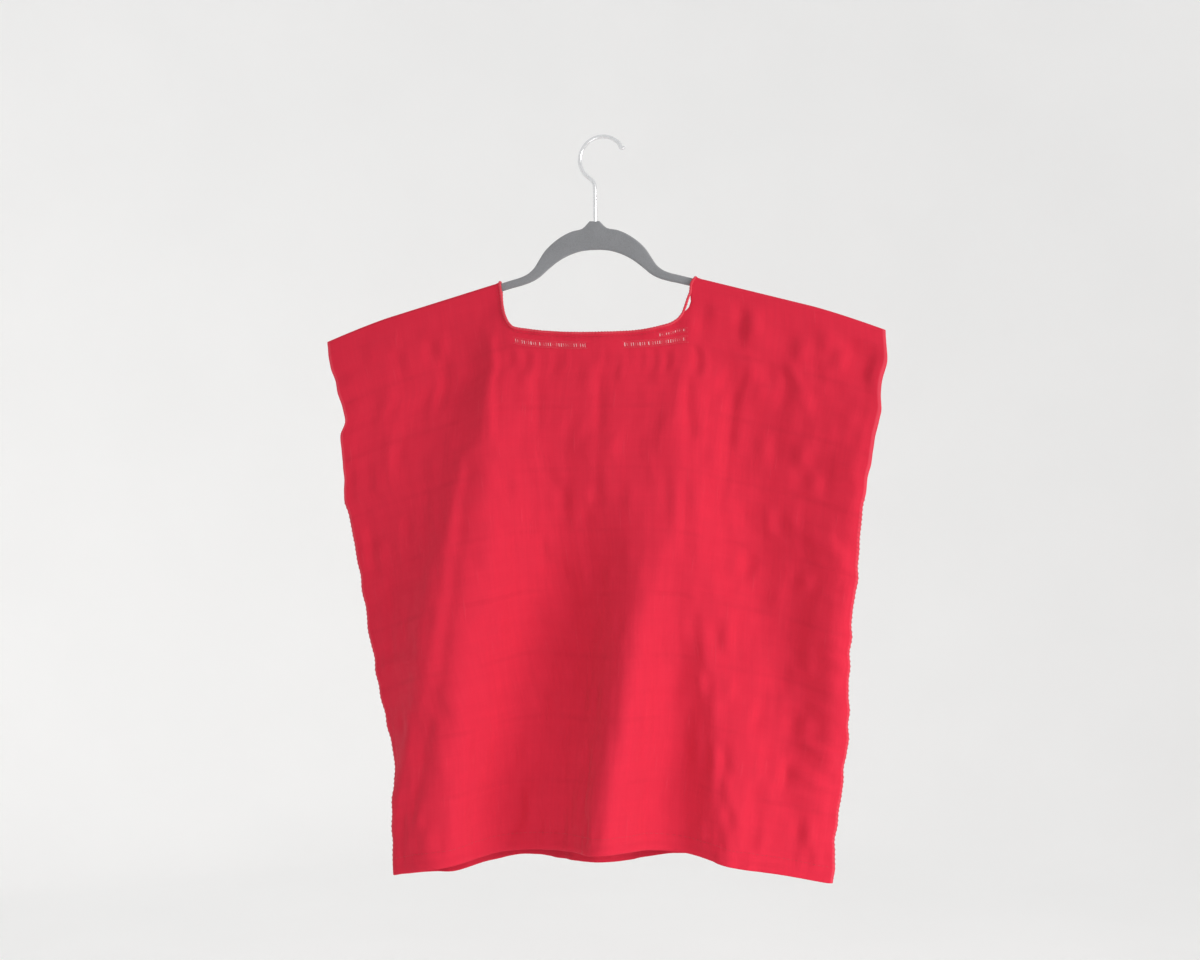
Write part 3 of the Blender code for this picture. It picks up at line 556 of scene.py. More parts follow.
def catmull_rom(before, start, end, after, t):
    """Points of a smooth curve from start to end, t of the way along."""
    return 0.5 * (2 * start + (end - before) * t
                  + (2 * before - 5 * start + 4 * end - after) * t ** 2
                  + (3 * start - before - 3 * end + after) * t ** 3)


def unit(vectors):
    """The vectors, each made 1 long."""
    return vectors / np.maximum(np.linalg.norm(vectors, axis=-1, keepdims=True), 1e-12)


def run_along(line):
    """Length of a line up to each of its points."""
    return np.concatenate([[0], np.cumsum(np.linalg.norm(np.diff(line, axis=0), axis=1))])


def heading(loop):
    """Direction in which a closed line runs at each of its points."""
    return unit(np.roll(loop, -1, axis=0) - np.roll(loop, 1, axis=0))


def column(rows, name):
    """One named column of a table."""
    return [getattr(row, name) for row in rows]


def read_table(rows, name, at, by="down"):
    """A table's named column, read smoothly at places along another of its columns."""
    return smooth_curve(column(rows, by), column(rows, name), at)


def ease_in(at, start, end):
    """0 before start, 1 after end, smooth between."""
    t = np.clip((np.asarray(at, float) - start) / (end - start), 0, 1)
    return t * t * (3 - 2 * t)


def softened(profile, step):
    """A fold's profile with its crests and valleys rounded, its two ends left in place."""
    reach = int(3 * FOLD_SOFTNESS / step)
    weights = np.exp(-0.5 * (np.arange(-reach, reach + 1) * step / FOLD_SOFTNESS) ** 2)
    before = 2 * profile[0] - profile[reach:0:-1]
    after = 2 * profile[-1] - profile[-2:-reach - 2:-1]
    padded = np.concatenate([before, profile, after])
    return np.convolve(padded, weights / weights.sum(), mode="valid")


def wander(seed, at, spacing):
    """A smooth random line from -1 to 1 with a turn about every spacing."""
    values = np.random.default_rng(seed).uniform(-1, 1, 512)
    place = np.asarray(at, float) / spacing + 200
    cell = np.floor(place).astype(int) % 511
    t = place - np.floor(place)
    t = t * t * (3 - 2 * t)
    return values[cell] * (1 - t) + values[cell + 1] * t


def mottle(seed, across, down):
    """A smooth random field from -1 to 1 with a turn about every unit."""
    values = np.random.default_rng(seed).uniform(-1, 1, (256, 256))
    u = np.asarray(across, float) + 100
    v = np.asarray(down, float) + 100
    i = np.floor(u).astype(int) % 255
    j = np.floor(v).astype(int) % 255
    fu = u - np.floor(u)
    fv = v - np.floor(v)
    fu = fu * fu * (3 - 2 * fu)
    fv = fv * fv * (3 - 2 * fv)
    top = values[j, i] * (1 - fu) + values[j, i + 1] * fu
    low = values[j + 1, i] * (1 - fu) + values[j + 1, i + 1] * fu
    return top * (1 - fv) + low * fv


def wobbling(wobble, seed, p, q):
    """A smooth random shift of a place on the cloth."""
    return wobble.reach * mottle(seed, p / wobble.across, q / wobble.down)


# ---- the drape ----------------------------------------------------------------------
def shoulder_height(x):
    """Height of the folded top edge, inside face, at a distance from the centre line."""
    x = x + SHOULDER_OFFSET
    reach = np.maximum(np.abs(x) - SHOULDER_FLAT_HALF, 0)
    past = np.clip((np.abs(x) - DROOP_START) / (SHOULDER_HALF - DROOP_START), 0, None)
    droop = DROOP * past ** DROOP_CURVE
    return SHOULDER_TOP_Z - SHOULDER_SLOPE * reach - droop - x * math.tan(TILT)


def hem_height(across, side):
    """Height of the hem at a share across, from -1 at the left corner to 1."""
    middle = FRONT_HEM_MID_Z if side < 0 else BACK_HEM_MID_Z
    rise = np.maximum(np.abs(across) - HEM_LEVEL_SHARE, 0) / (1 - HEM_LEVEL_SHARE)
    wave = 0.0
    if side > 0:
        wave = read_table(BACK_HEM_WAVE, "rise", across, "across") * MM
    return middle + (HEM_CORNER_Z - middle) * rise ** HEM_CURVE + wave


def edge_gape(down, length, widest):
    """How far a side edge stands off the seams' plane: open at the armhole, then closed."""
    share = min(down * length / ARMHOLE_LENGTH, 1.0)
    return TIP_FOLD_RADIUS * (1 - share) + widest * math.sin(math.pi * share) ** ARMHOLE_CURVE


def crease_relief(creases, along, across, fade_limit=CREASE_FADE_LIMIT):
    """Sum of the creases' heights where along runs with them and across lies over them."""
    total = np.zeros(np.broadcast(along, across).shape)
    for crease in creases:
        centre = smooth_curve(crease.runs, crease.lies, along)
        off = across - centre
        width = np.where(off < 0, crease.before, crease.after)
        reach = min(CREASE_FADE_SHARE * (crease.runs[-1] - crease.runs[0]), fade_limit)
        ends = ease_in(along, crease.runs[0], crease.runs[0] + reach)
        ends = ends * (1 - ease_in(along, crease.runs[-1] - reach, crease.runs[-1]))
        total += crease.height * ends * np.exp(-(off / width) ** 2)
    return total


Side = namedtuple("Side", "name facing length folds neck down_creases cross_creases swells seed")


class Cloth:
    """Maps the flat cut of one side (front -1, back +1) to its hanging, creased shape."""

    def __init__(self, side, creasing, puckering):
        self.side = side
        self.length = side.length
        self.creasing = creasing
        self.puckering = puckering
        self.levels = np.linspace(0, 1, DRAPE_LEVELS)
        rows = [self.row(down) for down in self.levels]
        self.share_table = np.array([row[0] for row in rows])
        self.x_table = np.array([row[1] for row in rows])
        self.y_table = np.array([row[2] for row in rows])

    def row(self, down):
        """Share across, x and y along one row, spaced by equal length of cloth."""
        left = -read_table(LEFT_EDGE, "half_width", down)
        right = read_table(RIGHT_EDGE, "half_width", down)
        places = [float(left)]
        outs = [edge_gape(down, self.length, LEFT_ARMHOLE_GAPE) / MM]
        for fold in self.side.folds:
            places.append(float(smooth_curve(LEVELS, fold.across, down)))
            outs.append(float(smooth_curve(LEVELS, fold.out, down)))
        places.append(float(right))
        outs.append(edge_gape(down, self.length, RIGHT_ARMHOLE_GAPE) / MM)
        share = np.linspace(0, 1, DRAPE_SAMPLES)
        x = (left + (right - left) * share) * MM
        out = softened(smooth_curve(places, outs, x / MM), (x[1] - x[0]) / MM) * MM
        seam_left = read_table(SEAM_PLACE, "left", down)
        seam_right = read_table(SEAM_PLACE, "right", down)
        y = (seam_left + (seam_right - seam_left) * share) * MM + self.side.facing * out
        z = self.height(share, np.full_like(share, down * self.length))
        run = np.sqrt(np.diff(x) ** 2 + np.diff(y) ** 2 + np.diff(z) ** 2)
        run = np.concatenate([[0], np.cumsum(run)])
        even = np.linspace(0, run[-1], DRAPE_SAMPLES)
        return np.interp(even, run, share), np.interp(even, run, x), np.interp(even, run, y)

    def height(self, share, q):
        """Height at a share across, 0 to 1, and a length q down from the fold."""
        across = 2 * share - 1
        top = shoulder_height(across * SHOULDER_HALF)
        angle = np.clip(q, None, FOLD_BEND) / FOLD_RADIUS
        below = np.clip((q - FOLD_BEND) / (self.length - FOLD_BEND), 0, None)
        rounded = top - FOLD_RADIUS * (1 - np.cos(angle))
        return rounded + (hem_height(across, self.side.facing) - rounded) * below

    def draped(self, p, q):
        """Points of the smooth drape for flat places p across and q down."""
        u = np.clip(p / CUT_WIDTH + 0.5, 0, 1) * (DRAPE_SAMPLES - 1)
        v = np.clip(q / self.length, 0, 1) * (DRAPE_LEVELS - 1)
        col = np.clip(u.astype(int), 0, DRAPE_SAMPLES - 2)
        row = np.clip(v.astype(int), 0, DRAPE_LEVELS - 2)
        fu = u - col
        fv = v - row

        def blend(table):
            top = table[row, col] * (1 - fu) + table[row, col + 1] * fu
            low = table[row + 1, col] * (1 - fu) + table[row + 1, col + 1] * fu
            return top * (1 - fv) + low * fv

        share = blend(self.share_table)
        y = blend(self.y_table) * np.sin(np.clip(q, -FOLD_BEND, FOLD_BEND) / FOLD_RADIUS)
        z = self.height(share, q)
        return np.stack([blend(self.x_table) + CLOTH_CENTRE_X, y, z], axis=-1)

    def relief(self, p, q):
        """How far the creased cloth stands out from the smooth drape."""
        p = p / MM
        q = q / MM
        seed = self.side.seed
        length = self.length / MM
        total = crease_relief(self.side.down_creases, q, p) * self.creasing
        total += crease_relief(self.side.cross_creases, p, q) * self.creasing
        total += crease_relief(self.side.swells, q, p, SWELL_FADE_LIMIT)
        share = q / length
        across = ease_in(p, *LEFT_TO_MIDDLE) + ease_in(p, *MIDDLE_TO_RIGHT)
        left = read_table(PUCKER_DEPTH, "left", share)
        middle = read_table(PUCKER_DEPTH, "middle", share)
        right = read_table(PUCKER_DEPTH, "right", share)
        depth = np.where(across < 1, left + (middle - left) * across,
                         middle + (right - middle) * (across - 1))
        bent_p = p + wobbling(ACROSS_WOBBLE, seed + 6, p, q)
        bent_q = q + wobbling(DOWN_WOBBLE, seed + 7, p, q)
        between = np.abs(np.sin(np.pi * (q - RIB_FIRST) / RIB_PITCH))
        between = PUCKER_AT_RIB + (1 - PUCKER_AT_RIB) * between
        own = mottle(seed + 1, bent_p / PUCKER_SPACING, bent_q / PUCKER_LENGTH)
        broad = mottle(seed + 2, bent_p / (BROAD_PUCKER_WIDTH * PUCKER_SPACING),
                       bent_q / (BROAD_PUCKER_LENGTH * PUCKER_LENGTH))
        total += self.puckering * depth * (own * between + BROAD_PUCKER * broad)
        slanted = (bent_q - RIPPLE_SLANT * np.abs(p)) / RIPPLE_SPACING
        ripple = mottle(seed + 8, bent_p / RIPPLE_LENGTH, slanted) * ease_in(q, *RIPPLE_TOP)
        ripple *= (LEFT_RIPPLE * ease_in(-p, *LEFT_RIPPLE_FADE)
                   + RIGHT_RIPPLE * ease_in(p, *RIGHT_RIPPLE_FADE))
        total += self.puckering * ripple
        streaks = mottle(seed + 3, p / STREAK_SPACING, q / STREAK_LENGTH)
        total += self.puckering * STREAK_DEPTH * streaks
        total += SWELL_DEPTH * mottle(seed + 4, p / SWELL_SPACING, q / (1.5 * SWELL_SPACING))
        near_hem = np.exp(-((q - (length - HEM_WIDTH / MM)) / HEM_PUCKER_WIDTH) ** 2)
        total += HEM_PUCKER_DEPTH * near_hem * wander(seed + 5, p, HEM_PUCKER_SPACING)
        from_edge = CUT_WIDTH / MM / 2 - np.abs(p)
        return total * ease_in(from_edge, *SELVEDGE_FADE) * ease_in(q, *SHOULDER_FADE) * MM

    def edge_shift(self, p, q):
        """Sideways and front to back waves of the selvedges, the same on both sides."""
        down = q / self.length * FRONT_LENGTH / MM
        from_edge = CUT_WIDTH / MM / 2 - np.abs(p) / MM
        side = np.sign(p)
        near = np.exp(-(from_edge / EDGE_REACH) ** 2) * ease_in(q / MM, *EDGE_WAVE_TOP)
        low = 1 - 0.5 * ease_in(down, *EDGE_CALM)
        seeds = np.where(side < 0, 0.0, 1000.0)
        wave = wander(31, down + seeds, EDGE_WAVE_SPACING) * EDGE_WAVE
        ripple = wander(37, down + seeds, EDGE_RIPPLE_SPACING) * EDGE_RIPPLE
        pulls = [read_table(SEAM_PULL, name, q / self.length) for name in ("left", "right")]
        pull = np.where(side < 0, pulls[0], pulls[1]) * MM
        pull = pull * np.exp(-(from_edge / SEAM_PULL_REACH) ** 2)
        aside = np.where(side < 0, LEFT_PULL_ASIDE, RIGHT_PULL_ASIDE)
        sideways = side * wave * near * low - aside * pull
        return sideways, ripple * near * low + pull

    def outward(self, form, p, q, step):
        """Outward direction of the draped or the creased form."""
        inner = np.clip(p, step - CUT_WIDTH / 2, CUT_WIDTH / 2 - step)
        along = form(inner + step, q) - form(inner - step, q)
        down = form(inner, np.minimum(q + step, self.length))
        down = down - form(inner, np.minimum(q, self.length - step) - step)
        return unit(np.cross(down, along) * -self.side.facing)

    def surface(self, p, q):
        """Points of the creased cloth's inside face."""
        p = np.asarray(p, float)
        q = np.asarray(q, float)
        outward = self.outward(self.draped, p, q, DRAPE_STEP)
        points = self.draped(p, q) + outward * self.relief(p, q)[..., None]
        sideways, through = self.edge_shift(p, q)
        points[..., 0] += sideways
        points[..., 1] += through
        return points

    def normal(self, p, q):
        """Outward direction of the creased cloth."""
        p = np.asarray(p, float)
        q = np.asarray(q, float)
        return self.outward(self.surface, p, q, NORMAL_STEP)

    def outside(self, p, q, distance):
        """Points of the creased cloth moved out, square to it."""
        distance = np.broadcast_to(np.asarray(distance, float), np.shape(p))
        return self.surface(p, q) + self.normal(p, q) * distance[..., None]


FRONT = Side("front", -1, FRONT_LENGTH, FRONT_FOLDS, FRONT_NECK, FRONT_DOWN_CREASES,
             FRONT_CROSS_CREASES, FRONT_SWELLS, 100)
BACK = Side("back", 1, BACK_LENGTH, BACK_FOLDS, BACK_NECK, BACK_DOWN_CREASES,
            BACK_CROSS_CREASES, BACK_SWELLS, 200)


# ---- the neck opening on the flat cut -----------------------------------------------
def neck_side(points, q, widen):
    """Half width of the opening at q down one side, widened by an allowance."""
    down = np.array(column(points, "down")) * MM
    half = np.array(column(points, "half_width")) * MM
    return smooth_curve(down, half, q) + widen


def neck_base(points, p, lower):
    """Depth of the opening's base at p across, lowered by an allowance."""
    across = np.array(column(points, "across")) * MM
    depth = np.array(column(points, "down")) * MM
    return smooth_curve(across, depth, p) + lower


def slit_width(q):
    """How far the cloth's edge stands back from the roll along the unsewn slit."""
    rise = np.clip((q - SLIT_START) / SLIT_TOP_TAPER, 0, 1)
    fall = np.clip((SLIT_END - q) / SLIT_FOOT_TAPER, 0, 1)
    return (SLIT_WIDTH + SLIT_EXTRA) * np.minimum(rise, fall)


def spaced(counts, stops):
    """Depths through the stops, each stretch shared into its own count of rows."""
    parts = [np.array(stops[:1], float)]
    for count, start, end in zip(counts, stops, stops[1:]):
        parts.append(start + (end - start) * np.linspace(0, 1, count + 1)[1:])
    return np.concatenate(parts)


def flat_grid(side):
    """Flat places of one side's grid, and which cells hold cloth."""
    neck = side.neck
    allowance = NECK_ROLL_DIAMETER / 2
    diagonal = allowance * CORNER_SHARE
    left_corner = neck.left[-1].half_width * MM + diagonal
    right_corner = neck.right[-1].half_width * MM + diagonal
    half = CUT_WIDTH / 2
    first = SHOULDER_COLUMNS
    last = SHOULDER_COLUMNS + NECK_COLUMNS
    columns = 2 * SHOULDER_COLUMNS + NECK_COLUMNS
    corner_row = ROWS_FOLD + ROWS_NECK

    outer_share = np.linspace(0, 1, SHOULDER_COLUMNS + 1) ** SHOULDER_CROWDING
    middle = np.linspace(0, 1, NECK_COLUMNS + 1)
    crowded = 0.5 - 0.5 * np.cos(np.pi * middle)
    middle = NECK_EVENNESS * middle + (1 - NECK_EVENNESS) * crowded
    across = np.zeros(columns + 1)
    across[first:last + 1] = -left_corner + (left_corner + right_corner) * middle
    across[:first + 1] = -half + (half - left_corner) * outer_share
    across[last:] = right_corner + (half - right_corner) * (1 - outer_share[::-1])
    corners = neck_base(neck.base, across, allowance)
    corners[:first + 1] = neck.left[-1].down * MM + diagonal
    corners[last:] = neck.right[-1].down * MM + diagonal
    if side.facing < 0:
        lines = read_table(OPENWORK_LINE, "down", across / MM, "across") * MM
    else:
        lines = corners + BACK_LINE_DROP
    counts = (ROWS_FOLD, ROWS_NECK, ROWS_TO_SECOND, 1, ROWS_TO_LINE, 1, ROWS_BODY, 1, ROWS_HEM)
    depths = []
    for corner, line in zip(corners, lines):
        second = corner + (line - corner) * SECOND_ROW_PLACE
        hem = side.length - HEM_WIDTH
        stops = (0, FOLD_BEND, corner, second - SECOND_ROW_HEIGHT, second,
                 line - OPENWORK_HEIGHT / 2, line + OPENWORK_HEIGHT / 2,
                 hem - HEM_STEP, hem, side.length)
        depths.append(spaced(counts, stops))
    q = np.stack(depths, axis=1)

    p = np.broadcast_to(across, q.shape).copy()
    upper = slice(0, corner_row)
    left_edge = neck_side(neck.left, q[upper, first], allowance)[:, None]
    right_edge = neck_side(neck.right, q[upper, last], allowance)
    if side.facing < 0:
        right_edge = right_edge + slit_width(q[upper, last])
    right_edge = right_edge[:, None]
    p[upper, first:last + 1] = -left_edge + (left_edge + right_edge) * middle
    p[upper, :first + 1] = -half + (half - left_edge) * outer_share
    p[upper, last:] = right_edge + (half - right_edge) * (1 - outer_share[::-1])

    filled = np.ones((q.shape[0] - 1, columns), bool)
    filled[:corner_row, first:last] = False
    if side.facing < 0:
        centres = (across[1:] + across[:-1]) / 2
        second_row = corner_row + ROWS_TO_SECOND
        line_row = second_row + 1 + ROWS_TO_LINE
        filled[second_row] &= ~((centres > SECOND_ROW_START) & (centres < SECOND_ROW_END))
        for stretch in OPENWORK_STRETCHES:
            filled[line_row] &= ~((centres > stretch.start) & (centres < stretch.end))
    return p, q, filled


# ---- making meshes ------------------------------------------------------------------
def finish_mesh(name, points, faces, finish, places=None):
    """A named object from points and faces, its flat places kept as a UV map."""
    mesh = bpy.data.meshes.new(name)
    mesh.from_pydata(points.tolist(), [], faces)
    if places is not None:
        loops = np.zeros(len(mesh.loops), np.int32)
        mesh.loops.foreach_get("vertex_index", loops)
        layer = mesh.uv_layers.new(name="flat_cut")
        layer.data.foreach_set("uv", places[loops].astype(np.float32).ravel())
    mesh.shade_smooth()
    mesh.set_sharp_from_angle(angle=SHARP_ANGLE)
    mesh.materials.append(finish)
    made = bpy.data.objects.new(name, mesh)
    bpy.context.scene.collection.objects.link(made)
    return made


def shell(name, inner, outer, filled, places, facing, finish):
    """A closed thin cloth between two grids of points, its free edges rounded."""
    used = np.zeros((filled.shape[0] + 1, filled.shape[1] + 1), bool)
    for down in (0, 1):
        for over in (0, 1):
            used[down:used.shape[0] - 1 + down, over:used.shape[1] - 1 + over] |= filled
    index = np.cumsum(used.ravel()).reshape(used.shape) - 1
    count = int(used.sum())
    j, i = np.nonzero(filled)
    ring = np.stack([index[j, i], index[j, i + 1], index[j + 1, i + 1], index[j + 1, i]], axis=1)
    if facing > 0:
        ring = ring[:, ::-1]
    low = inner[used]
    high = outer[used]
    centre = (low[ring].mean(axis=1) + high[ring].mean(axis=1)) / 2
    middle = (low + high) / 2
    outward = np.zeros_like(middle)
    for corner in range(4):
        np.add.at(outward, ring[:, corner], middle[ring[:, corner]] - centre)
    outward = unit(outward)
    starts = ring.ravel()
    ends = np.roll(ring, -1, axis=1).ravel()
    forward = starts.astype(np.int64) * count + ends
    backward = ends.astype(np.int64) * count + starts
    rim = ~np.isin(forward, backward)
    starts = starts[rim]
    ends = ends[rim]
    rim_points = np.unique(np.concatenate([starts, ends]))
    slot = np.full(count, -1)
    slot[rim_points] = np.arange(len(rim_points))
    thick = high[rim_points] - low[rim_points]
    push = np.linalg.norm(thick, axis=1, keepdims=True) / 2
    fold_row = np.zeros(used.shape, bool)
    fold_row[0] = True
    push[fold_row[used][rim_points]] = 0
    extra = []
    for turn in (math.pi / 3, 2 * math.pi / 3):
        across = thick * (1 - math.cos(turn)) / 2
        extra.append(low[rim_points] + across + outward[rim_points] * push * math.sin(turn))
    points = np.concatenate([low, high] + extra)
    first = 2 * count + slot
    second = first + len(rim_points)
    rim_quads = np.concatenate([
        np.stack([ends, starts, first[starts], first[ends]], axis=1),
        np.stack([first[ends], first[starts], second[starts], second[ends]], axis=1),
        np.stack([second[ends], second[starts], starts + count, ends + count], axis=1),
    ])
    faces = np.concatenate([ring, ring[:, ::-1] + count, rim_quads])
    flat = places[used]
    flat = np.concatenate([flat, flat, flat[rim_points], flat[rim_points]])
    return finish_mesh(name, points, faces.tolist(), finish, flat)


def tube_rings(lines, frames, radii, sides):
    """Rings of points round many lines: shape (line, along, around, 3)."""
    normal, binormal = frames
    turn = np.linspace(0, 2 * math.pi, sides, endpoint=False)
    radii = np.broadcast_to(radii, lines.shape[:2])[..., None, None]
    ring = normal[..., None, :] * np.cos(turn)[:, None]
    ring = ring + binormal[..., None, :] * np.sin(turn)[:, None]
    return lines[..., None, :] + ring * radii


def line_frames(lines, reference):
    """Two directions square to each line, the first as near the reference as can be."""
    tangent = unit(np.gradient(lines, axis=1))
    binormal = unit(np.cross(tangent, np.broadcast_to(reference, lines.shape)))
    return np.cross(binormal, tangent), binormal


def threads(name, lines, reference, radii, sides, finish):
    """Many short round threads joined in one mesh, each closed at its ends."""
    lines = np.asarray(lines, float)
    rings = tube_rings(lines, line_frames(lines, reference), radii, sides)
    count, along = lines.shape[:2]
    caps = lines[:, [0, -1]]
    points = np.concatenate([rings.reshape(count, -1, 3), caps], axis=1).reshape(-1, 3)
    stride = along * sides + 2
    around = np.arange(sides)
    after = (around + 1) % sides
    one = []
    for k in range(along - 1):
        base = k * sides
        one.append(np.stack([base + around, base + after, base + sides + after,
                             base + sides + around], axis=1))
    quads = np.concatenate(one)
    last = (along - 1) * sides
    start_cap = np.stack([after, around, np.full(sides, along * sides)], axis=1)
    end_cap = np.stack([last + around, last + after, np.full(sides, along * sides + 1)], axis=1)
    faces = []
    for k in range(count):
        faces.extend((quads + k * stride).tolist())
        faces.extend((start_cap + k * stride).tolist())
        faces.extend((end_cap + k * stride).tolist())
    return finish_mesh(name, points, faces, finish)


def loop_tube(name, line, reference, radii, sides, finish):
    """A round tube closed on itself."""
    count = len(line)
    tangent = heading(line)
    binormal = unit(np.cross(tangent, reference))
    normal = np.cross(binormal, tangent)
    rings = tube_rings(line[None], (normal[None], binormal[None]), radii, sides)[0]
    faces = []
    for k in range(count):
        here = k * sides
        there = (k + 1) % count * sides
        for a in range(sides):
            b = (a + 1) % sides
            faces.append((here + a, here + b, there + b, there + a))
    return finish_mesh(name, rings.reshape(-1, 3), faces, finish)


# ---- shader groups ------------------------------------------------------------------
class Nodes:
    """Short ways to add nodes to a tree and link them."""

    def __init__(self, tree):
        self.tree = tree

    def add(self, kind, **inputs):
        """A node of a kind, with values or sockets given for its inputs by name."""
        node = self.tree.nodes.new(kind)
        for name, value in inputs.items():
            self.feed(node.inputs[name.replace("_", " ")], value)
        return node

    def feed(self, socket, value):
        """Gives a socket a value, or links another socket to it."""
        if isinstance(value, bpy.types.NodeSocket):
            self.tree.links.new(value, socket)
        else:
            socket.default_value = value

    def math(self, operation, *values, clamp=False):
        """A Math node's result."""
        node = self.tree.nodes.new("ShaderNodeMath")
        node.operation = operation
        node.use_clamp = clamp
        for socket, value in zip(node.inputs, values):
            self.feed(socket, value)
        return node.outputs[0]

    def tint(self, base, mask, strength, colour):
        """A base colour with another laid over it where the mask shows."""
        return self.mix(self.math("MULTIPLY", mask, strength), base, colour)

    def bump(self, shader, height, strength):
        """Gives the shader a relief of a height in metres."""
        node = self.add("ShaderNodeBump", Height=height, Distance=1.0, Strength=strength)
        self.feed(shader.inputs["Normal"], node.outputs[0])

    def object_place(self):
        """The place on the object."""
        return self.tree.nodes.new("ShaderNodeTexCoord").outputs["Object"]

    def remap(self, value, low, high, to_low=0.0, to_high=1.0):
        """Maps a value from one range to another, clamped and smooth."""
        node = self.tree.nodes.new("ShaderNodeMapRange")
        node.interpolation_type = "SMOOTHSTEP"
        for name, given in (("Value", value), ("From Min", low), ("From Max", high),
                            ("To Min", to_low), ("To Max", to_high)):
            self.feed(node.inputs[name], given)
        return node.outputs["Result"]

    def mix(self, share, first, second):
        """A colour between two colours."""
        node = self.tree.nodes.new("ShaderNodeMix")
        node.data_type = "RGBA"
        self.feed(node.inputs["Factor"], share)
        self.feed(node.inputs[6], first)
        self.feed(node.inputs[7], second)
        return node.outputs[2]

    def noise(self, place, scale, detail=2.0, roughness=0.5):
        """A noise texture's value."""
        node = self.add("ShaderNodeTexNoise", Vector=place, Scale=scale, Detail=detail,
                        Roughness=roughness)
        return node.outputs[0]

    def stretched(self, place, across, down, through=1.0):
        """A place vector with each direction multiplied."""
        node = self.tree.nodes.new("ShaderNodeVectorMath")
        node.operation = "MULTIPLY"
        self.feed(node.inputs[0], place)
        node.inputs[1].default_value = (across, down, through)
        return node.outputs[0]


def new_group(name, inputs, outputs):
    """An empty shader group with named inputs and outputs."""
    tree = bpy.data.node_groups.new(name, "ShaderNodeTree")
    for label, kind, default in inputs:
        socket = tree.interface.new_socket(label, in_out="INPUT", socket_type=kind)
        if default is not None:
            socket.default_value = default
    for label, kind in outputs:
        tree.interface.new_socket(label, in_out="OUTPUT", socket_type=kind)
    given = tree.nodes.new("NodeGroupInput")
    result = tree.nodes.new("NodeGroupOutput")
    return Nodes(tree), given.outputs, result.inputs


def plain_weave_group():
    """Plain weave: its height, and a mask that lightens some threads and darkens others."""
    nodes, given, result = new_group(
        "plain weave",
        [("Place", "NodeSocketVector", None), ("Warp Pitch", "NodeSocketFloat", 0.0007),
         ("Weft Pitch", "NodeSocketFloat", 0.0008)],
        [("Height", "NodeSocketFloat"), ("Thread", "NodeSocketFloat"), ("Slub", "NodeSocketFloat")],
    )
    split = nodes.add("ShaderNodeSeparateXYZ", Vector=given["Place"])
    warp = nodes.math("DIVIDE", split.outputs[0], given["Warp Pitch"])
    weft = nodes.math("DIVIDE", split.outputs[1], given["Weft Pitch"])
    warp_turn = nodes.math("SINE", nodes.math("MULTIPLY", warp, math.pi))
    weft_turn = nodes.math("SINE", nodes.math("MULTIPLY", weft, math.pi))
    warp_crown = nodes.math("ABSOLUTE", warp_turn)
    weft_crown = nodes.math("ABSOLUTE", weft_turn)
    over = nodes.remap(nodes.math("MULTIPLY", warp_turn, weft_turn), -0.25, 0.25)
    under = nodes.math("SUBTRACT", 1.0, over)
    height = nodes.math("ADD", nodes.math("MULTIPLY", warp_crown, over),
                        nodes.math("MULTIPLY", weft_crown, under))
    warp_thread = nodes.noise(nodes.stretched(given["Place"], 900, 9), 1.0, 1.0)
    weft_thread = nodes.noise(nodes.stretched(given["Place"], 11, 800), 1.0, 1.0)
    thread = nodes.math("ADD", nodes.math("MULTIPLY", warp_thread, over),
                        nodes.math("MULTIPLY", weft_thread, under))
    slub = nodes.remap(nodes.noise(nodes.stretched(given["Place"], 420, 26), 1.0, 1.0), 0.66, 0.78)
    nodes.feed(result["Height"], height)
    nodes.feed(result["Thread"], thread)
    nodes.feed(result["Slub"], slub)
    return nodes.tree


def wear_group():
    """Soft blotches of wear: a broad mask and a fine one."""
    nodes, given, result = new_group(
        "soft wear",
        [("Place", "NodeSocketVector", None), ("Broad", "NodeSocketFloat", 14.0),
         ("Fine", "NodeSocketFloat", 90.0)],
        [("Broad", "NodeSocketFloat"), ("Fine", "NodeSocketFloat")],
    )
    broad = nodes.noise(given["Place"], given["Broad"], 3.0, 0.55)
    fine = nodes.noise(given["Place"], given["Fine"], 2.0, 0.6)
    nodes.feed(result["Broad"], nodes.remap(broad, 0.3, 0.7))
    nodes.feed(result["Fine"], nodes.remap(fine, 0.3, 0.7))
    return nodes.tree


def shared_group(name, build):
    """The named group, built the first time that it is asked for."""
    return bpy.data.node_groups.get(name) or build()


def use_group(nodes, group, **inputs):
    """A group placed in a material, with its inputs."""
    node = nodes.tree.nodes.new("ShaderNodeGroup")
    node.node_tree = group
    for name, value in inputs.items():
        nodes.feed(node.inputs[name.replace("_", " ")], value)
    return node


def worn(nodes, place, broad, fine):
    """Broad and fine masks of wear, at the given scales."""
    wear = use_group(nodes, shared_group("soft wear", wear_group), Place=place, Broad=broad,
                     Fine=fine)
    return wear.outputs["Broad"], wear.outputs["Fine"]


def new_material(name):
    """A Principled material, its nodes and its shader."""
    made = bpy.data.materials.new(name)
    made.use_nodes = True
    return made, Nodes(made.node_tree), made.node_tree.nodes["Principled BSDF"]


def shade_of(colour, factor):
    """A colour made darker or lighter."""
    return (*[min(part * factor, 1.0) for part in colour], 1.0)


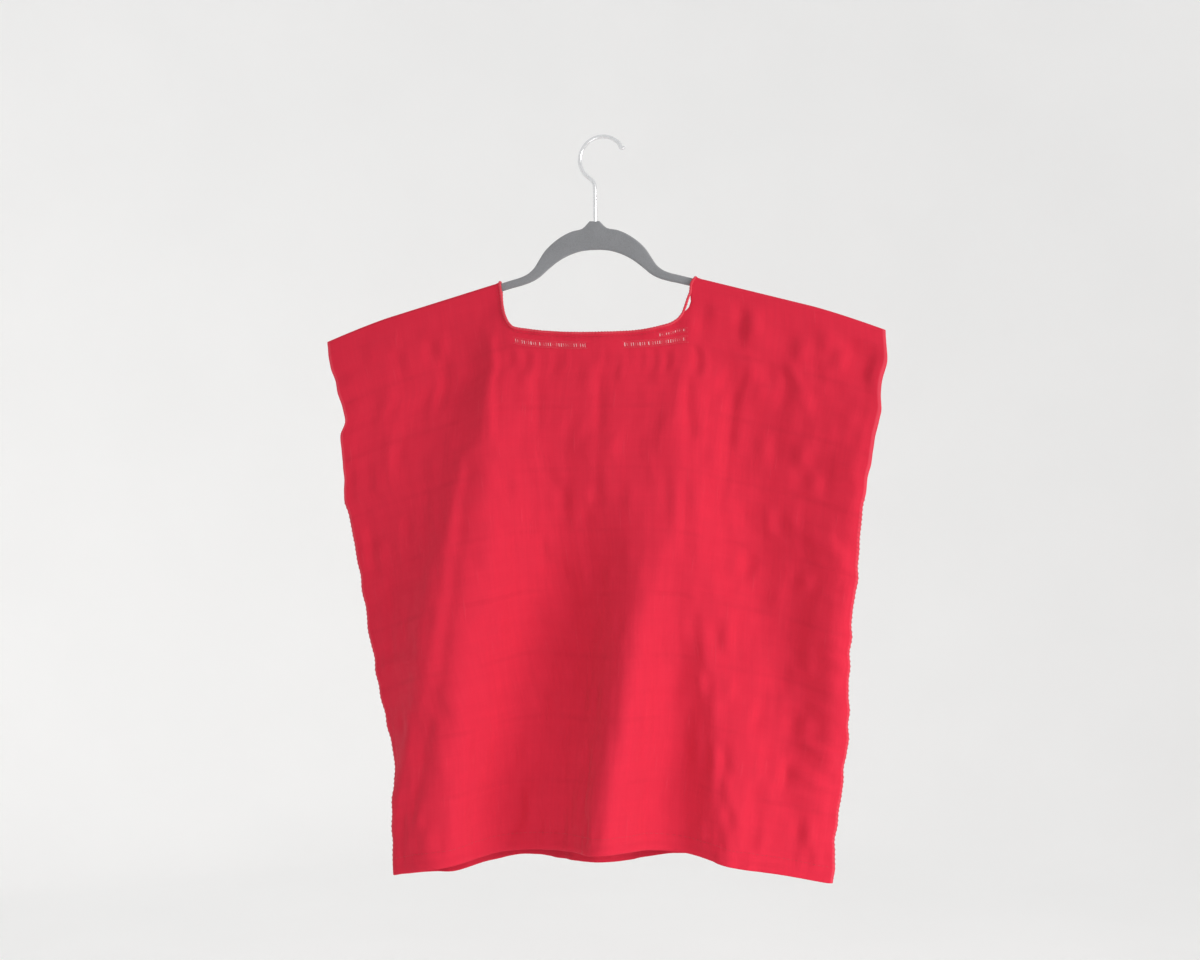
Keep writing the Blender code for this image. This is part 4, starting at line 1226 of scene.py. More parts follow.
def cotton_material(name, colours):
    """Plain-woven cotton with slubs, cross ribs darker from denser weft and from painted shade in
    their grooves, and a paler band of painted sheen along the selvedges.
    """
    made, nodes, shader = new_material(name)
    flat = nodes.tree.nodes.new("ShaderNodeUVMap")
    flat.uv_map = "flat_cut"
    place = flat.outputs[0]
    weave = use_group(nodes, shared_group("plain weave", plain_weave_group), Place=place,
                      Warp_Pitch=0.00072, Weft_Pitch=0.00085)
    broad, fine = worn(nodes, place, 11.0, 75.0)
    streak = nodes.noise(nodes.stretched(place, 260, 14), 1.0, 3.0, 0.6)
    streak = nodes.remap(streak, 0.25, 0.75)
    base = nodes.mix(streak, shade_of(colours.cotton, 0.97), shade_of(colours.cotton, 1.03))
    bands = nodes.remap(nodes.noise(nodes.stretched(place, 7, 75), 1.0, 2.0), 0.3, 0.7)
    base = nodes.tint(base, bands, 0.4, shade_of(colours.cotton, 0.93))
    base = nodes.tint(base, broad, 0.3, shade_of(colours.cotton, 0.92))
    thread = nodes.remap(weave.outputs["Thread"], 0.35, 0.65)
    base = nodes.tint(base, thread, 0.10, shade_of(colours.cotton, 0.72))
    base = nodes.tint(base, weave.outputs["Slub"], 0.07, (*colours.pale_threads_and_edge_sheen, 1.0))
    split = nodes.add("ShaderNodeSeparateXYZ", Vector=place)
    height = nodes.math("MULTIPLY", weave.outputs["Height"], 0.00012)
    height = nodes.math("ADD", height, nodes.math("MULTIPLY", weave.outputs["Slub"], 0.00014))
    drift = nodes.noise(nodes.stretched(place, 9, 9), 1.0, 1.0)
    drift = nodes.math("MULTIPLY", nodes.math("SUBTRACT", drift, 0.5), 0.0022)
    down = nodes.math("ADD", split.outputs[1], drift)
    turn = nodes.math("DIVIDE", nodes.math("SUBTRACT", down, RIB_FIRST * MM), RIB_PITCH * MM)
    turn = nodes.math("MAXIMUM", turn, 0.5)
    from_rib = nodes.math("FRACT", nodes.math("ADD", turn, 0.5))
    near = nodes.math("ABSOLUTE", nodes.math("SUBTRACT", from_rib, 0.5))
    rib = nodes.remap(near, 0.012, 0.066, 1.0, 0.0)
    patchy = nodes.remap(nodes.noise(nodes.stretched(place, 22, 5), 1.0, 2.0), 0.36, 0.64)
    rib = nodes.math("MULTIPLY", rib, patchy)
    # The rib lines are darker partly from their denser weft and partly from painted shade in their
    # grooves.
    base = nodes.tint(base, rib, 0.115, shade_of(colours.cotton, 0.55))
    height = nodes.math("SUBTRACT", height, nodes.math("MULTIPLY", rib, 0.0002))
    # A paler band along the side selvedges is painted sheen of the cloth's edges.
    side = nodes.math("ABSOLUTE", split.outputs[0])
    edge = nodes.remap(side, CUT_WIDTH / 2 - 3.2 * MM, CUT_WIDTH / 2 - 1.6 * MM)
    base = nodes.tint(base, edge, 0.35, (*colours.pale_threads_and_edge_sheen, 1.0))
    nodes.feed(shader.inputs["Base Color"], base)
    rough = nodes.remap(fine, 0.0, 1.0, 0.84, 0.95)
    nodes.feed(shader.inputs["Roughness"], rough)
    shader.inputs["Sheen Weight"].default_value = 0.12
    shader.inputs["Sheen Roughness"].default_value = 0.4
    shader.inputs["Sheen Tint"].default_value = (1.0, 0.45, 0.52, 1.0)
    shader.inputs["Specular IOR Level"].default_value = 0.08
    nodes.bump(shader, height, 0.7)
    return made


def thread_material(name, colour, pale):
    """Twisted sewing cotton."""
    made, nodes, shader = new_material(name)
    place = nodes.object_place()
    broad, fine = worn(nodes, place, 60.0, 900.0)
    base = nodes.tint((*colour, 1.0), fine, 0.5, shade_of(colour, 0.7))
    base = nodes.tint(base, broad, 0.25, (*pale, 1.0))
    nodes.feed(shader.inputs["Base Color"], base)
    nodes.feed(shader.inputs["Roughness"], nodes.remap(fine, 0, 1, 0.7, 0.9))
    shader.inputs["Sheen Weight"].default_value = 0.15
    shader.inputs["Specular IOR Level"].default_value = 0.25
    nodes.bump(shader, nodes.math("MULTIPLY", fine, 0.00012), 0.8)
    return made


def flock_material(colour):
    """Short grey flock on moulded plastic, rubbed paler in soft patches."""
    made, nodes, shader = new_material("grey flock")
    place = nodes.object_place()
    broad, fine = worn(nodes, place, 22.0, 260.0)
    fuzz = nodes.noise(place, 2600.0, 2.0, 0.7)
    base = nodes.mix(nodes.remap(fuzz, 0.3, 0.7), shade_of(colour, 0.8), shade_of(colour, 1.15))
    base = nodes.tint(base, broad, 0.3, shade_of(colour, 1.25))
    nodes.feed(shader.inputs["Base Color"], base)
    nodes.feed(shader.inputs["Roughness"], nodes.remap(fine, 0, 1, 0.88, 0.98))
    shader.inputs["Sheen Weight"].default_value = 0.35
    shader.inputs["Sheen Roughness"].default_value = 0.6
    shader.inputs["Specular IOR Level"].default_value = 0.15
    height = nodes.math("ADD", nodes.math("MULTIPLY", fuzz, 0.00025),
                        nodes.math("MULTIPLY", fine, 0.0001))
    nodes.bump(shader, height, 0.8)
    return made


def steel_material(colour):
    """Bright plated wire, finely uneven in roughness, with small dull spots."""
    made, nodes, shader = new_material("bright steel")
    place = nodes.object_place()
    broad, fine = worn(nodes, place, 70.0, 700.0)
    base = nodes.tint((*colour, 1.0), broad, 0.35, shade_of(colour, 0.82))
    nodes.feed(shader.inputs["Base Color"], base)
    shader.inputs["Metallic"].default_value = 1.0
    rough = nodes.math("ADD", 0.16, nodes.math("MULTIPLY", fine, 0.14))
    nodes.feed(shader.inputs["Roughness"], rough)
    nodes.bump(shader, nodes.math("MULTIPLY", fine, 0.00003), 0.5)
    return made


def stage_material(colour):
    """Pale matte paint."""
    made, nodes, shader = new_material("pale stage")
    place = nodes.object_place()
    tone = nodes.remap(nodes.noise(place, 3.0, 4.0), 0.3, 0.7)
    nodes.feed(shader.inputs["Base Color"],
               nodes.mix(tone, shade_of(colour, 0.985), shade_of(colour, 1.0)))
    shader.inputs["Roughness"].default_value = 0.9
    shader.inputs["Specular IOR Level"].default_value = 0.1
    return made


def shared_material(name, build, *values):
    """The named material, built the first time that it is asked for."""
    return bpy.data.materials.get(name) or build(name, *values)


# ---- the blouse ---------------------------------------------------------------------
CLOTHS = {}


def cloth_of(side, sizes):
    """The side's drape, worked out once."""
    if side.name not in CLOTHS:
        CLOTHS[side.name] = Cloth(side, sizes.creasing, sizes.puckering)
    return CLOTHS[side.name]


def make_cloth(side, sizes, colours):
    """Front or back of the woven length, from the shoulder fold to its turned hem."""
    cloth = cloth_of(side, sizes)
    p, q, filled = flat_grid(side)
    normal = cloth.normal(p, q)
    base = cloth.surface(p, q)
    outer_depth = np.full(p.shape, float(sizes.thickness))
    inner_depth = np.zeros(p.shape)
    inner_depth[-(ROWS_HEM + 1):] = -sizes.thickness * 0.75
    edge = CUT_WIDTH / 2 - np.abs(p)
    inner_depth *= ease_in(edge, 0, 6 * MM)
    outer_depth += hem_puff(q, side.length) + neck_band(side, p, q, sizes.band_width)
    inner = base + normal * inner_depth[..., None]
    outer = base + normal * outer_depth[..., None]
    finish = shared_material("red cotton", cotton_material, colours)
    places = np.stack([p, q], axis=-1)
    return shell(side.name + "_cloth", inner, outer, filled, places, side.facing, finish)


def hem_puff(q, length):
    """The doubled hem stands a little proud, and dips at its line of stitches."""
    line = length - HEM_WIDTH
    rise = HEM_RISE * ease_in(q, line - HEM_RISE_HALF, line + HEM_RISE_HALF)
    dip = HEM_DIP * np.exp(-((q - line - HEM_STITCH_DROP) / HEM_DIP_WIDTH) ** 2)
    return rise - dip


def neck_distance(side, p, q):
    """Distance from the finished neck edge on the flat cut."""
    neck = side.neck
    left = neck_side(neck.left, q, 0)
    right = neck_side(neck.right, q, 0)
    beside = np.where(p < 0, -p - left, p - right)
    below = q - neck_base(neck.base, p, 0)
    return np.hypot(np.maximum(beside, 0), np.maximum(below, 0))


def neck_band(side, p, q, width):
    """The turned band round the neck stands a little proud, up to its stitches."""
    away = neck_distance(side, p, q)
    rise = BAND_RISE * (1 - ease_in(away, width - BAND_FALL[0], width + BAND_FALL[1]))
    dip = BAND_DIP * np.exp(-((away - width) / BAND_DIP_WIDTH) ** 2)
    return rise - dip


def neck_line(side, widen):
    """The neck edge on the flat cut, left to right, evenly spaced, widened outward."""
    neck = side.neck
    left_q = np.linspace(0, neck.left[-1].down * MM, NECK_SIDE_POINTS)
    right_q = np.linspace(0, neck.right[-1].down * MM, NECK_SIDE_POINTS)[::-1]
    base_p = np.linspace(neck.base[0].across * MM, neck.base[-1].across * MM, NECK_BASE_POINTS)
    left = np.stack([-neck_side(neck.left, left_q, 0), left_q], axis=1)
    base = np.stack([base_p, neck_base(neck.base, base_p, 0)], axis=1)
    right = np.stack([neck_side(neck.right, right_q, 0), right_q], axis=1)
    line = np.concatenate([left, base[1:], right[1:]])
    ahead = unit(np.gradient(line, axis=0))
    for _ in range(CORNER_PASSES):
        ahead[1:-1] = (ahead[:-2] + 2 * ahead[1:-1] + ahead[2:]) / 4
    ahead = unit(ahead)
    square = np.stack([-ahead[:, 1], ahead[:, 0]], axis=1)
    return line + square * widen


def evenly(line, spacing):
    """Points of a line spaced evenly along it, ends kept."""
    run = run_along(line)
    count = max(int(round(run[-1] / spacing)), 2)
    even = np.linspace(0, run[-1], count + 1)
    return np.stack([np.interp(even, run, line[:, k]) for k in range(line.shape[1])], axis=1)


def neck_loop(front, back, spacing):
    """Middle line of the rolled neck edge, closed, and the cloth's outward direction."""
    points = []
    normals = []
    for cloth, order in ((front, 1), (back, -1)):
        line = evenly(neck_line(cloth.side, NECK_ROLL_DIAMETER / 2), spacing)[::order]
        p = line[:, 0]
        q = np.maximum(line[:, 1], 0.05 * MM)
        normal = cloth.normal(p, q)
        points.append(cloth.surface(p, q) + normal * NECK_ROLL_LIFT)
        normals.append(normal)
    points = np.concatenate([points[0], points[1][1:-1]])
    normals = np.concatenate([normals[0], normals[1][1:-1]])
    for _ in range(ROLL_PASSES):
        points = (np.roll(points, 1, axis=0) + 2 * points + np.roll(points, -1, axis=0)) / 4
        normals = (np.roll(normals, 1, axis=0) + 2 * normals + np.roll(normals, -1, axis=0)) / 4
    return points, unit(normals)


def make_neck_roll(sizes, colours):
    """The rolled edge and the thread that oversews it."""
    front = cloth_of(FRONT, sizes)
    back = cloth_of(BACK, sizes)
    finish = shared_material("neck thread", thread_material, colours.edge, colours.pale_threads_and_edge_sheen)
    line, normal = neck_loop(front, back, ROLL_SPACING * MM)
    along = np.arange(len(line)) * ROLL_SPACING
    plump = 1 + ROLL_LUMP * wander(61, along, ROLL_LUMP_SPACING)
    plump = plump + ROLL_RIPPLE * np.sin(2 * math.pi * along / ROLL_RIPPLE_SPACING)
    ends = ease_in(np.minimum(along, along[-1] - along), 0, 6)
    radii = NECK_ROLL_DIAMETER / 2 * (1 + (plump - 1) * ends)
    roll = loop_tube("neck_edge", line, normal, radii, 12, finish)

    fine, fine_normal = neck_loop(front, back, OVERSEW_SPACING * MM)
    side = unit(np.cross(heading(fine), fine_normal))
    turns = round(len(fine) * OVERSEW_SPACING * MM / sizes.oversew_pitch)
    turn = 2 * math.pi * turns * np.arange(len(fine)) / len(fine)
    reach = NECK_ROLL_DIAMETER / 2 + OVERSEW_LIFT
    spiral = fine + reach * (fine_normal * np.cos(turn)[:, None] + side * np.sin(turn)[:, None])
    wrap = loop_tube("neck_oversewing", spiral, spiral - fine, OVERSEW_THREAD_RADIUS, 5, finish)
    return roll, wrap


def stitch_lines(cloth, line, stitch, gap, clear):
    """Running stitches along a line on the flat cut: each rises out of the cloth and back."""
    run = run_along(line)
    count = int((run[-1] - gap) / (stitch + gap))
    starts = gap + np.arange(count) * (stitch + gap)
    starts = starts + wander(71, np.arange(count) * 1.0, 0.9) * gap * STITCH_UNEVENNESS
    at = starts[:, None] + stitch * np.array(STITCH_SHARES)
    p = np.interp(at, run, line[:, 0])
    q = np.interp(at, run, line[:, 1])
    return cloth.outside(p, q, clear + np.array(STITCH_LIFTS) * MM), cloth.normal(p, q)


def make_stitches(side, sizes, colours):
    """Running stitches of the hem and of the neck band on one side."""
    cloth = cloth_of(side, sizes)
    finish = shared_material("sewing thread", thread_material, colours.thread, colours.pale_threads_and_edge_sheen)
    across = np.linspace(-CUT_WIDTH / 2 + 2 * MM, CUT_WIDTH / 2 - 2 * MM, 400)
    hem_q = side.length - HEM_WIDTH + HEM_STITCH_DROP
    hem_q = hem_q + HEM_STITCH_DRIFT * wander(73, across / MM, 20)
    hem = np.stack([across, hem_q], axis=1)
    clear = sizes.thickness + 0.1 * MM
    hem_lines, hem_normals = stitch_lines(cloth, hem, sizes.stitch, sizes.stitch_gap, clear)
    hem_threads = threads(side.name + "_hem_stitches", hem_lines, hem_normals,
                          HEM_THREAD_RADIUS, 5, finish)
    band = neck_line(side, sizes.band_width)
    keep = band[:, 1] > BAND_STITCH_START
    if side.facing < 0:
        keep &= ~((band[:, 0] > 0) & (band[:, 1] < SLIT_END + 3 * MM))
    band = band[keep]
    band_lines, band_normals = stitch_lines(cloth, band, sizes.stitch * BAND_STITCH_SHARE,
                                            sizes.stitch_gap, sizes.thickness)
    band_threads = threads(side.name + "_neck_stitches", band_lines, band_normals,
                           BAND_THREAD_RADIUS, 5, finish)
    return hem_threads, band_threads


def make_side_stitches(sizes, colours):
    """Oversewing that joins front and back selvedges below each armhole."""
    front = cloth_of(FRONT, sizes)
    back = cloth_of(BACK, sizes)
    finish = shared_material("sewing thread", thread_material, colours.thread, colours.pale_threads_and_edge_sheen)
    start = ARMHOLE_LENGTH / FRONT_LENGTH
    count = int((FRONT_LENGTH - ARMHOLE_LENGTH) / sizes.side_pitch)
    share = start + (SIDE_STITCH_END - start) * np.linspace(0, 1, count)
    depth = sizes.thickness
    lines = []
    for sign in (-1, 1):
        edge = sign * CUT_WIDTH / 2
        stops = []
        rim = []
        for cloth, way in ((front, -1), (back, 1)):
            q = (share + way * SIDE_STITCH_SLANT) * cloth.length
            inner = np.full(count, edge - sign * SIDE_STITCH_INNER)
            outer = np.full(count, edge - sign * SIDE_STITCH_OUTER)
            stops.append((cloth.outside(inner, q, depth - SIDE_STITCH_SINK),
                          cloth.outside(outer, q, depth + SIDE_STITCH_LIFT)))
            q = (share + way * SIDE_STITCH_SLANT * 0.5) * cloth.length
            point = cloth.outside(np.full(count, edge), q, depth * 0.5)
            point[:, 0] += sign * SIDE_STITCH_OVERHANG
            rim.append(point)
        path = [stops[0][0], stops[0][1], rim[0], rim[1], stops[1][1], stops[1][0]]
        lines.append(np.stack(path, axis=1))
    lines = np.concatenate(lines)
    last = lines.shape[1] - 1
    finer = np.zeros((len(lines), SIDE_STITCH_POINTS, 3))
    for k, at in enumerate(np.linspace(0, last, SIDE_STITCH_POINTS)):
        i = min(int(at), last - 1)
        before = lines[:, max(i - 1, 0)]
        after = lines[:, min(i + 2, last)]
        finer[:, k] = catmull_rom(before, lines[:, i], lines[:, i + 1], after, at - i)
    return threads("side_stitches", finer, np.array([0.0, 0.0, 1.0]), SIDE_THREAD_RADIUS, 5, finish)


def make_openwork(sizes, colours):
    """Bundles of threads across the drawn-thread rows under the front neck edge."""
    cloth = cloth_of(FRONT, sizes)
    finish = shared_material("openwork thread", thread_material, colours.openwork, colours.edge)
    allowance = NECK_ROLL_DIAMETER / 2
    lines = []
    normals = []
    rows = [(stretch.start, stretch.end, 1.0, OPENWORK_HEIGHT, 0.0)
            for stretch in OPENWORK_STRETCHES]
    rows.append((SECOND_ROW_START, SECOND_ROW_END, SECOND_ROW_PLACE, SECOND_ROW_HEIGHT, 0.5))
    for start, end, place, height, lift in rows:
        count = int(round((end - start) / OPENWORK_PITCH))
        middle = start + (end - start) * (np.arange(count + 1) / count)
        middle = middle + wander(81, np.arange(count + 1) * 1.0, 0.9) * BUNDLE_DRIFT
        line = read_table(OPENWORK_LINE, "down", middle / MM, "across") * MM
        corner = neck_base(FRONT_NECK.base, middle, allowance)
        line = corner + (line - corner) * place - height * lift
        drawn = STRAND_DRAWN + STRAND_DRAWN_DRIFT * wander(83, np.arange(count + 1) * 1.0, 1.3)
        spread = np.array(STRAND_SPREAD) * MM * drawn[:, None]
        for strand in (-1, 0, 1):
            p = middle[:, None] + strand * spread
            q = line[:, None] + np.array(STRAND_SHARES) * height
            lines.append(cloth.outside(p, q, sizes.thickness * np.array(STRAND_DEPTH)))
            normals.append(cloth.normal(p, q))
        p = middle[:, None] + np.array(KNOT_ACROSS) * MM
        q = np.broadcast_to(line[:, None], p.shape)
        lines.append(cloth.outside(p, q, sizes.thickness * KNOT_DEPTH))
        normals.append(cloth.normal(p, q))
    return threads("openwork_threads", np.concatenate(lines), np.concatenate(normals),
                   STRAND_RADIUS, 6, finish)


# ---- the hanger ---------------------------------------------------------------------
def arm_top(x):
    """Height of the top of a hanger arm at a distance from the hanger's middle."""
    level = SHOULDER_TOP_Z - ARM_CLEARANCE
    return level - SHOULDER_SLOPE * (x - SHOULDER_FLAT_HALF)


def through(points, count):
    """A smooth line through points, evenly spaced."""
    points = np.asarray(points, float)
    run = run_along(points)
    at = np.linspace(0, run[-1], count)
    padded = np.vstack([2 * points[0] - points[1], points, 2 * points[-1] - points[-2]])
    cell = np.clip(np.searchsorted(run, at, side="right") - 1, 0, len(points) - 2)
    t = ((at - run[cell]) / (run[cell + 1] - run[cell]))[:, None]
    return catmull_rom(*(padded[cell + k] for k in range(4)), t)


def hanger_half_outline():
    """Right half of the body's outline: down the outer edge, round the end, back inside."""
    top = [(point.x * MM, point.z * MM) for point in CROWN_TOP]
    end = HANGER_HALF_SPAN - ARM_HEIGHT / 2
    top += [(float(x), arm_top(float(x))) for x in np.linspace(ARM_START, end, 5)]
    middle = arm_top(end) - ARM_HEIGHT / 2
    lean = math.atan(SHOULDER_SLOPE)
    centre_x = end - ARM_HEIGHT / 2 * math.sin(lean)
    cap = []
    for k in range(1, ARM_END_STEPS):
        turn = math.pi / 2 - lean - math.pi * k / ARM_END_STEPS
        cap.append((centre_x + ARM_HEIGHT / 2 * math.cos(turn),
                    middle + ARM_HEIGHT / 2 * math.sin(turn)))
    under = [(float(x), arm_top(float(x)) - ARM_HEIGHT)
             for x in np.linspace(end - ARM_HEIGHT * math.sin(lean), ARM_START, 5)]
    under += [(point.x * MM, point.z * MM) for point in CROWN_UNDERSIDE]
    return np.concatenate([through(top, OUTLINE_POINTS), cap, through(under, OUTLINE_POINTS)])


def make_hanger(colours):
    """The flocked hanger body, as thick as the board and rounded all round."""
    half = hanger_half_outline()
    outline = np.concatenate([half, half[::-1] * np.array([-1, 1])])
    count = len(outline)
    rounding = HANGER_EDGE_RADIUS
    back = HANGER_THICKNESS / 2
    ahead = heading(outline)
    inward = np.stack([ahead[:, 1], -ahead[:, 0]], axis=1)
    rings = []
    for turn in np.radians(HANGER_EDGE_TURNS):
        shift = rounding * (1 - math.sin(turn))
        depth = -back + rounding * (1 - math.cos(turn))
        ring = outline + inward * shift
        rings.append(np.stack([ring[:, 0], np.full(count, depth), ring[:, 1]], axis=1))
    rings += [ring * np.array([1, -1, 1]) for ring in reversed(rings)]
    points = np.concatenate(rings)
    tilt = np.array(Matrix.Rotation(TILT, 3, "Y"))
    points = points @ tilt.T + np.array([HANGER_CENTRE_X, 0, 0])
    faces = []
    for k in range(len(rings) - 1):
        for a in range(count):
            b = (a + 1) % count
            faces.append((k * count + a, (k + 1) * count + a, (k + 1) * count + b, k * count + b))
    last = (len(rings) - 1) * count
    half_count = len(half)
    strips = []
    for k in range((half_count - 1) // 2):
        across = (k, k + 1, half_count - 2 - k, half_count - 1 - k)
        strips.append(across)
        strips.append(tuple(count - 1 - point for point in reversed(across)))
    strips.append((count - 1, 0, half_count - 1, half_count))
    for strip in strips:
        faces.append(tuple(dict.fromkeys(strip)))
        faces.append(tuple(dict.fromkeys(last + point for point in reversed(strip))))
    return finish_mesh("hanger_board", points, faces, flock_material(colours.flock))


def bezier(start, start_pull, end, end_pull, count):
    """Points of a cubic curve that leaves and arrives along the given pulls."""
    points = []
    for t in np.linspace(0, 1, count):
        first = start * (1 - t) ** 3 + (start + start_pull) * 3 * t * (1 - t) ** 2
        second = (end - end_pull) * 3 * t ** 2 * (1 - t) + end * t ** 3
        points.append(first + second)
    return np.array(points)


def hook_path():
    """Centre line of the hook, from the boss up, round the rail and out to the tip."""
    centre = np.array([0.0, HOOK_WIRE / 2 - HOOK_RADIUS])
    start = math.radians(HOOK_START_ANGLE)
    end = math.radians(HOOK_END_ANGLE)
    turns = np.linspace(start, end, HOOK_ARC_POINTS)
    arc = centre + HOOK_RADIUS * np.stack([np.cos(turns), np.sin(turns)], axis=1)
    foot = np.array([HOOK_SHAFT_X, BOSS_TOP_Z - 2 * MM])
    top = np.array([HOOK_SHAFT_X, HOOK_SHAFT_TOP_Z])
    arriving = np.array([math.sin(start), -math.cos(start)])
    bend = bezier(top, np.array([0, HOOK_BEND_PULL]), arc[0], arriving * HOOK_END_PULL,
                  HOOK_BEND_POINTS)
    leaving = np.array([math.sin(end), -math.cos(end)])
    outward = np.array([HOOK_END_PULL, HOOK_TIP_RISE])
    flare = bezier(arc[-1], leaving * HOOK_END_PULL, np.array(HOOK_TIP), outward,
                   HOOK_BEND_POINTS)
    return np.concatenate([[foot], bend, arc[1:], flare[1:]])


def make_hook(colours):
    """The round steel wire hook, its tip rounded off."""
    path = hook_path()
    line = np.stack([path[:, 0], np.zeros(len(path)), path[:, 1]], axis=1)
    radius = HOOK_WIRE / 2
    tangent = line[-1] - line[-2]
    tangent /= np.linalg.norm(tangent)
    tip = []
    radii = np.full(len(line), radius)
    line[-1] = line[-1] - tangent * radius
    for turn in np.radians(HOOK_TIP_TURNS):
        tip.append(line[-1] + tangent * radius * math.sin(turn))
        radii = np.append(radii, radius * math.cos(turn))
    line = np.concatenate([line, tip])
    finish = steel_material(colours.steel)
    return threads("hook_wire", line[None], np.array([0.0, 1.0, 0.0]), radii[None], 24, finish)


# ---- stage, lights and camera -------------------------------------------------------
CAMERA_LENS = 54.0
CAMERA_DISTANCE = 1.8
CAMERA_TARGET = (-6.5 * MM, 0.0, -343 * MM)
CAMERA_AZIMUTH = math.radians(11.2)
CAMERA_ELEVATION = math.radians(-1.5)
CAMERA_ROLL = math.radians(-0.73)
FLOOR_DROP = 0.34
BOWL_FLAT = 1.9
BOWL_REACH = 3.4
BOWL_RISE = 2.3
BOWL_FLOOR_RADII = (0.4, 0.9, 1.4, BOWL_FLAT)
BOWL_RINGS = 24
BOWL_CURVE = 2.2
BOWL_SIDES = 96
LIGHT_SPREAD = math.radians(90)
Lamp = namedtuple("Lamp", "name place aim size colour")
KEY = Lamp("key", (2.10, -0.98, -0.16), (0.0, 0.0, -0.48), 0.9, (1.0, 0.985, 0.97))
GLOW = Lamp("floor glow", (0.30, -0.78, -1.0), (0.0, 0.0, -0.66), 0.5, (1.0, 0.99, 0.985))


def make_camera():
    """The camera, looking at the blouse from a little to its right and below."""
    lens = bpy.data.cameras.new("camera")
    lens.lens = CAMERA_LENS
    lens.sensor_width = 36
    camera = bpy.data.objects.new("camera", lens)
    bpy.context.scene.collection.objects.link(camera)
    level = math.cos(CAMERA_ELEVATION)
    back = Vector((math.sin(CAMERA_AZIMUTH) * level, -math.cos(CAMERA_AZIMUTH) * level,
                   math.sin(CAMERA_ELEVATION)))
    right = Vector((0, 0, 1)).cross(back).normalized()
    up = back.cross(right)
    rolled_right = right * math.cos(CAMERA_ROLL) + up * math.sin(CAMERA_ROLL)
    rolled_up = up * math.cos(CAMERA_ROLL) - right * math.sin(CAMERA_ROLL)
    turn = Matrix((rolled_right, rolled_up, back)).transposed().to_4x4()
    place = Vector(CAMERA_TARGET) + back * CAMERA_DISTANCE
    camera.matrix_world = Matrix.Translation(place) @ turn
    bpy.context.scene.camera = camera


def make_bowl(colour):
    """A pale floor that sweeps up all round into a low backdrop."""
    low = CAD_BOX[0][2] - FLOOR_DROP
    share = np.linspace(0, 1, BOWL_RINGS + 1)[1:]
    radii = np.concatenate([BOWL_FLOOR_RADII, BOWL_FLAT + (BOWL_REACH - BOWL_FLAT) * share])
    rise = np.concatenate([np.zeros(len(BOWL_FLOOR_RADII)), BOWL_RISE * share ** BOWL_CURVE])
    around = BOWL_SIDES
    turn = np.linspace(0, 2 * math.pi, around, endpoint=False)
    points = [np.array([[0, 0, low]])]
    for radius, height in zip(radii, rise):
        points.append(np.stack([radius * np.cos(turn), radius * np.sin(turn),
                                np.full(around, low + height)], axis=1))
    faces = [(0, 1 + a, 1 + (a + 1) % around) for a in range(around)]
    for k in range(len(radii) - 1):
        for a in range(around):
            b = (a + 1) % around
            here = 1 + k * around
            there = here + around
            faces.append((here + a, there + a, there + b, here + b))
    return finish_mesh("stage_floor", np.concatenate(points), faces, stage_material(colour))


def make_area_light(lamp, power):
    """A square soft light aimed at a point."""
    light = bpy.data.lights.new(lamp.name, "AREA")
    light.shape = "SQUARE"
    light.size = lamp.size
    light.energy = power
    light.spread = LIGHT_SPREAD
    light.color = lamp.colour
    made = bpy.data.objects.new(lamp.name, light)
    bpy.context.scene.collection.objects.link(made)
    made.location = lamp.place
    aim = Vector(lamp.aim) - Vector(lamp.place)
    made.rotation_euler = aim.to_track_quat("-Z", "Y").to_euler()


def make_world(strength):
    """Even white light from all round."""
    world = bpy.data.worlds.new("soft white")
    world.use_nodes = True
    ground = world.node_tree.nodes["Background"]
    ground.inputs["Color"].default_value = (1.0, 1.0, 1.0, 1.0)
    ground.inputs["Strength"].default_value = strength
    bpy.context.scene.world = world


# ---- settings a user would change ---------------------------------------------------
class HUIPIL_PG_sizes(bpy.types.PropertyGroup):
    """Sizes and strengths of the cloth and its stitches."""

    thickness: FloatProperty(name="Cloth thickness", description="Thickness of the woven cotton",
                             default=0.001, min=0.0004, max=0.002, unit="LENGTH")
    creasing: FloatProperty(name="Creases", description="How strongly the hand-placed creases show",
                            default=1.0, min=0.0, max=3.0, subtype="FACTOR")
    puckering: FloatProperty(name="Puckers", description="How strongly the cloth puckers",
                             default=1.0, min=0.0, max=3.0, subtype="FACTOR")
    band_width: FloatProperty(name="Neck band", description="Width of the turned band at the neck",
                              default=0.005, min=0.002, max=0.02, unit="LENGTH")
    stitch: FloatProperty(name="Stitch length", description="Length of a running stitch",
                          default=0.003, min=0.001, max=0.01, unit="LENGTH")
    stitch_gap: FloatProperty(name="Stitch gap", description="Gap between running stitches",
                              default=0.0018, min=0.0005, max=0.01, unit="LENGTH")
    side_pitch: FloatProperty(name="Side stitches", description="Spacing of the side oversewing",
                              default=0.005, min=0.002, max=0.02, unit="LENGTH")
    oversew_pitch: FloatProperty(name="Neck oversewing", description="Spacing of the neck's thread",
                                 default=0.0032, min=0.001, max=0.01, unit="LENGTH")


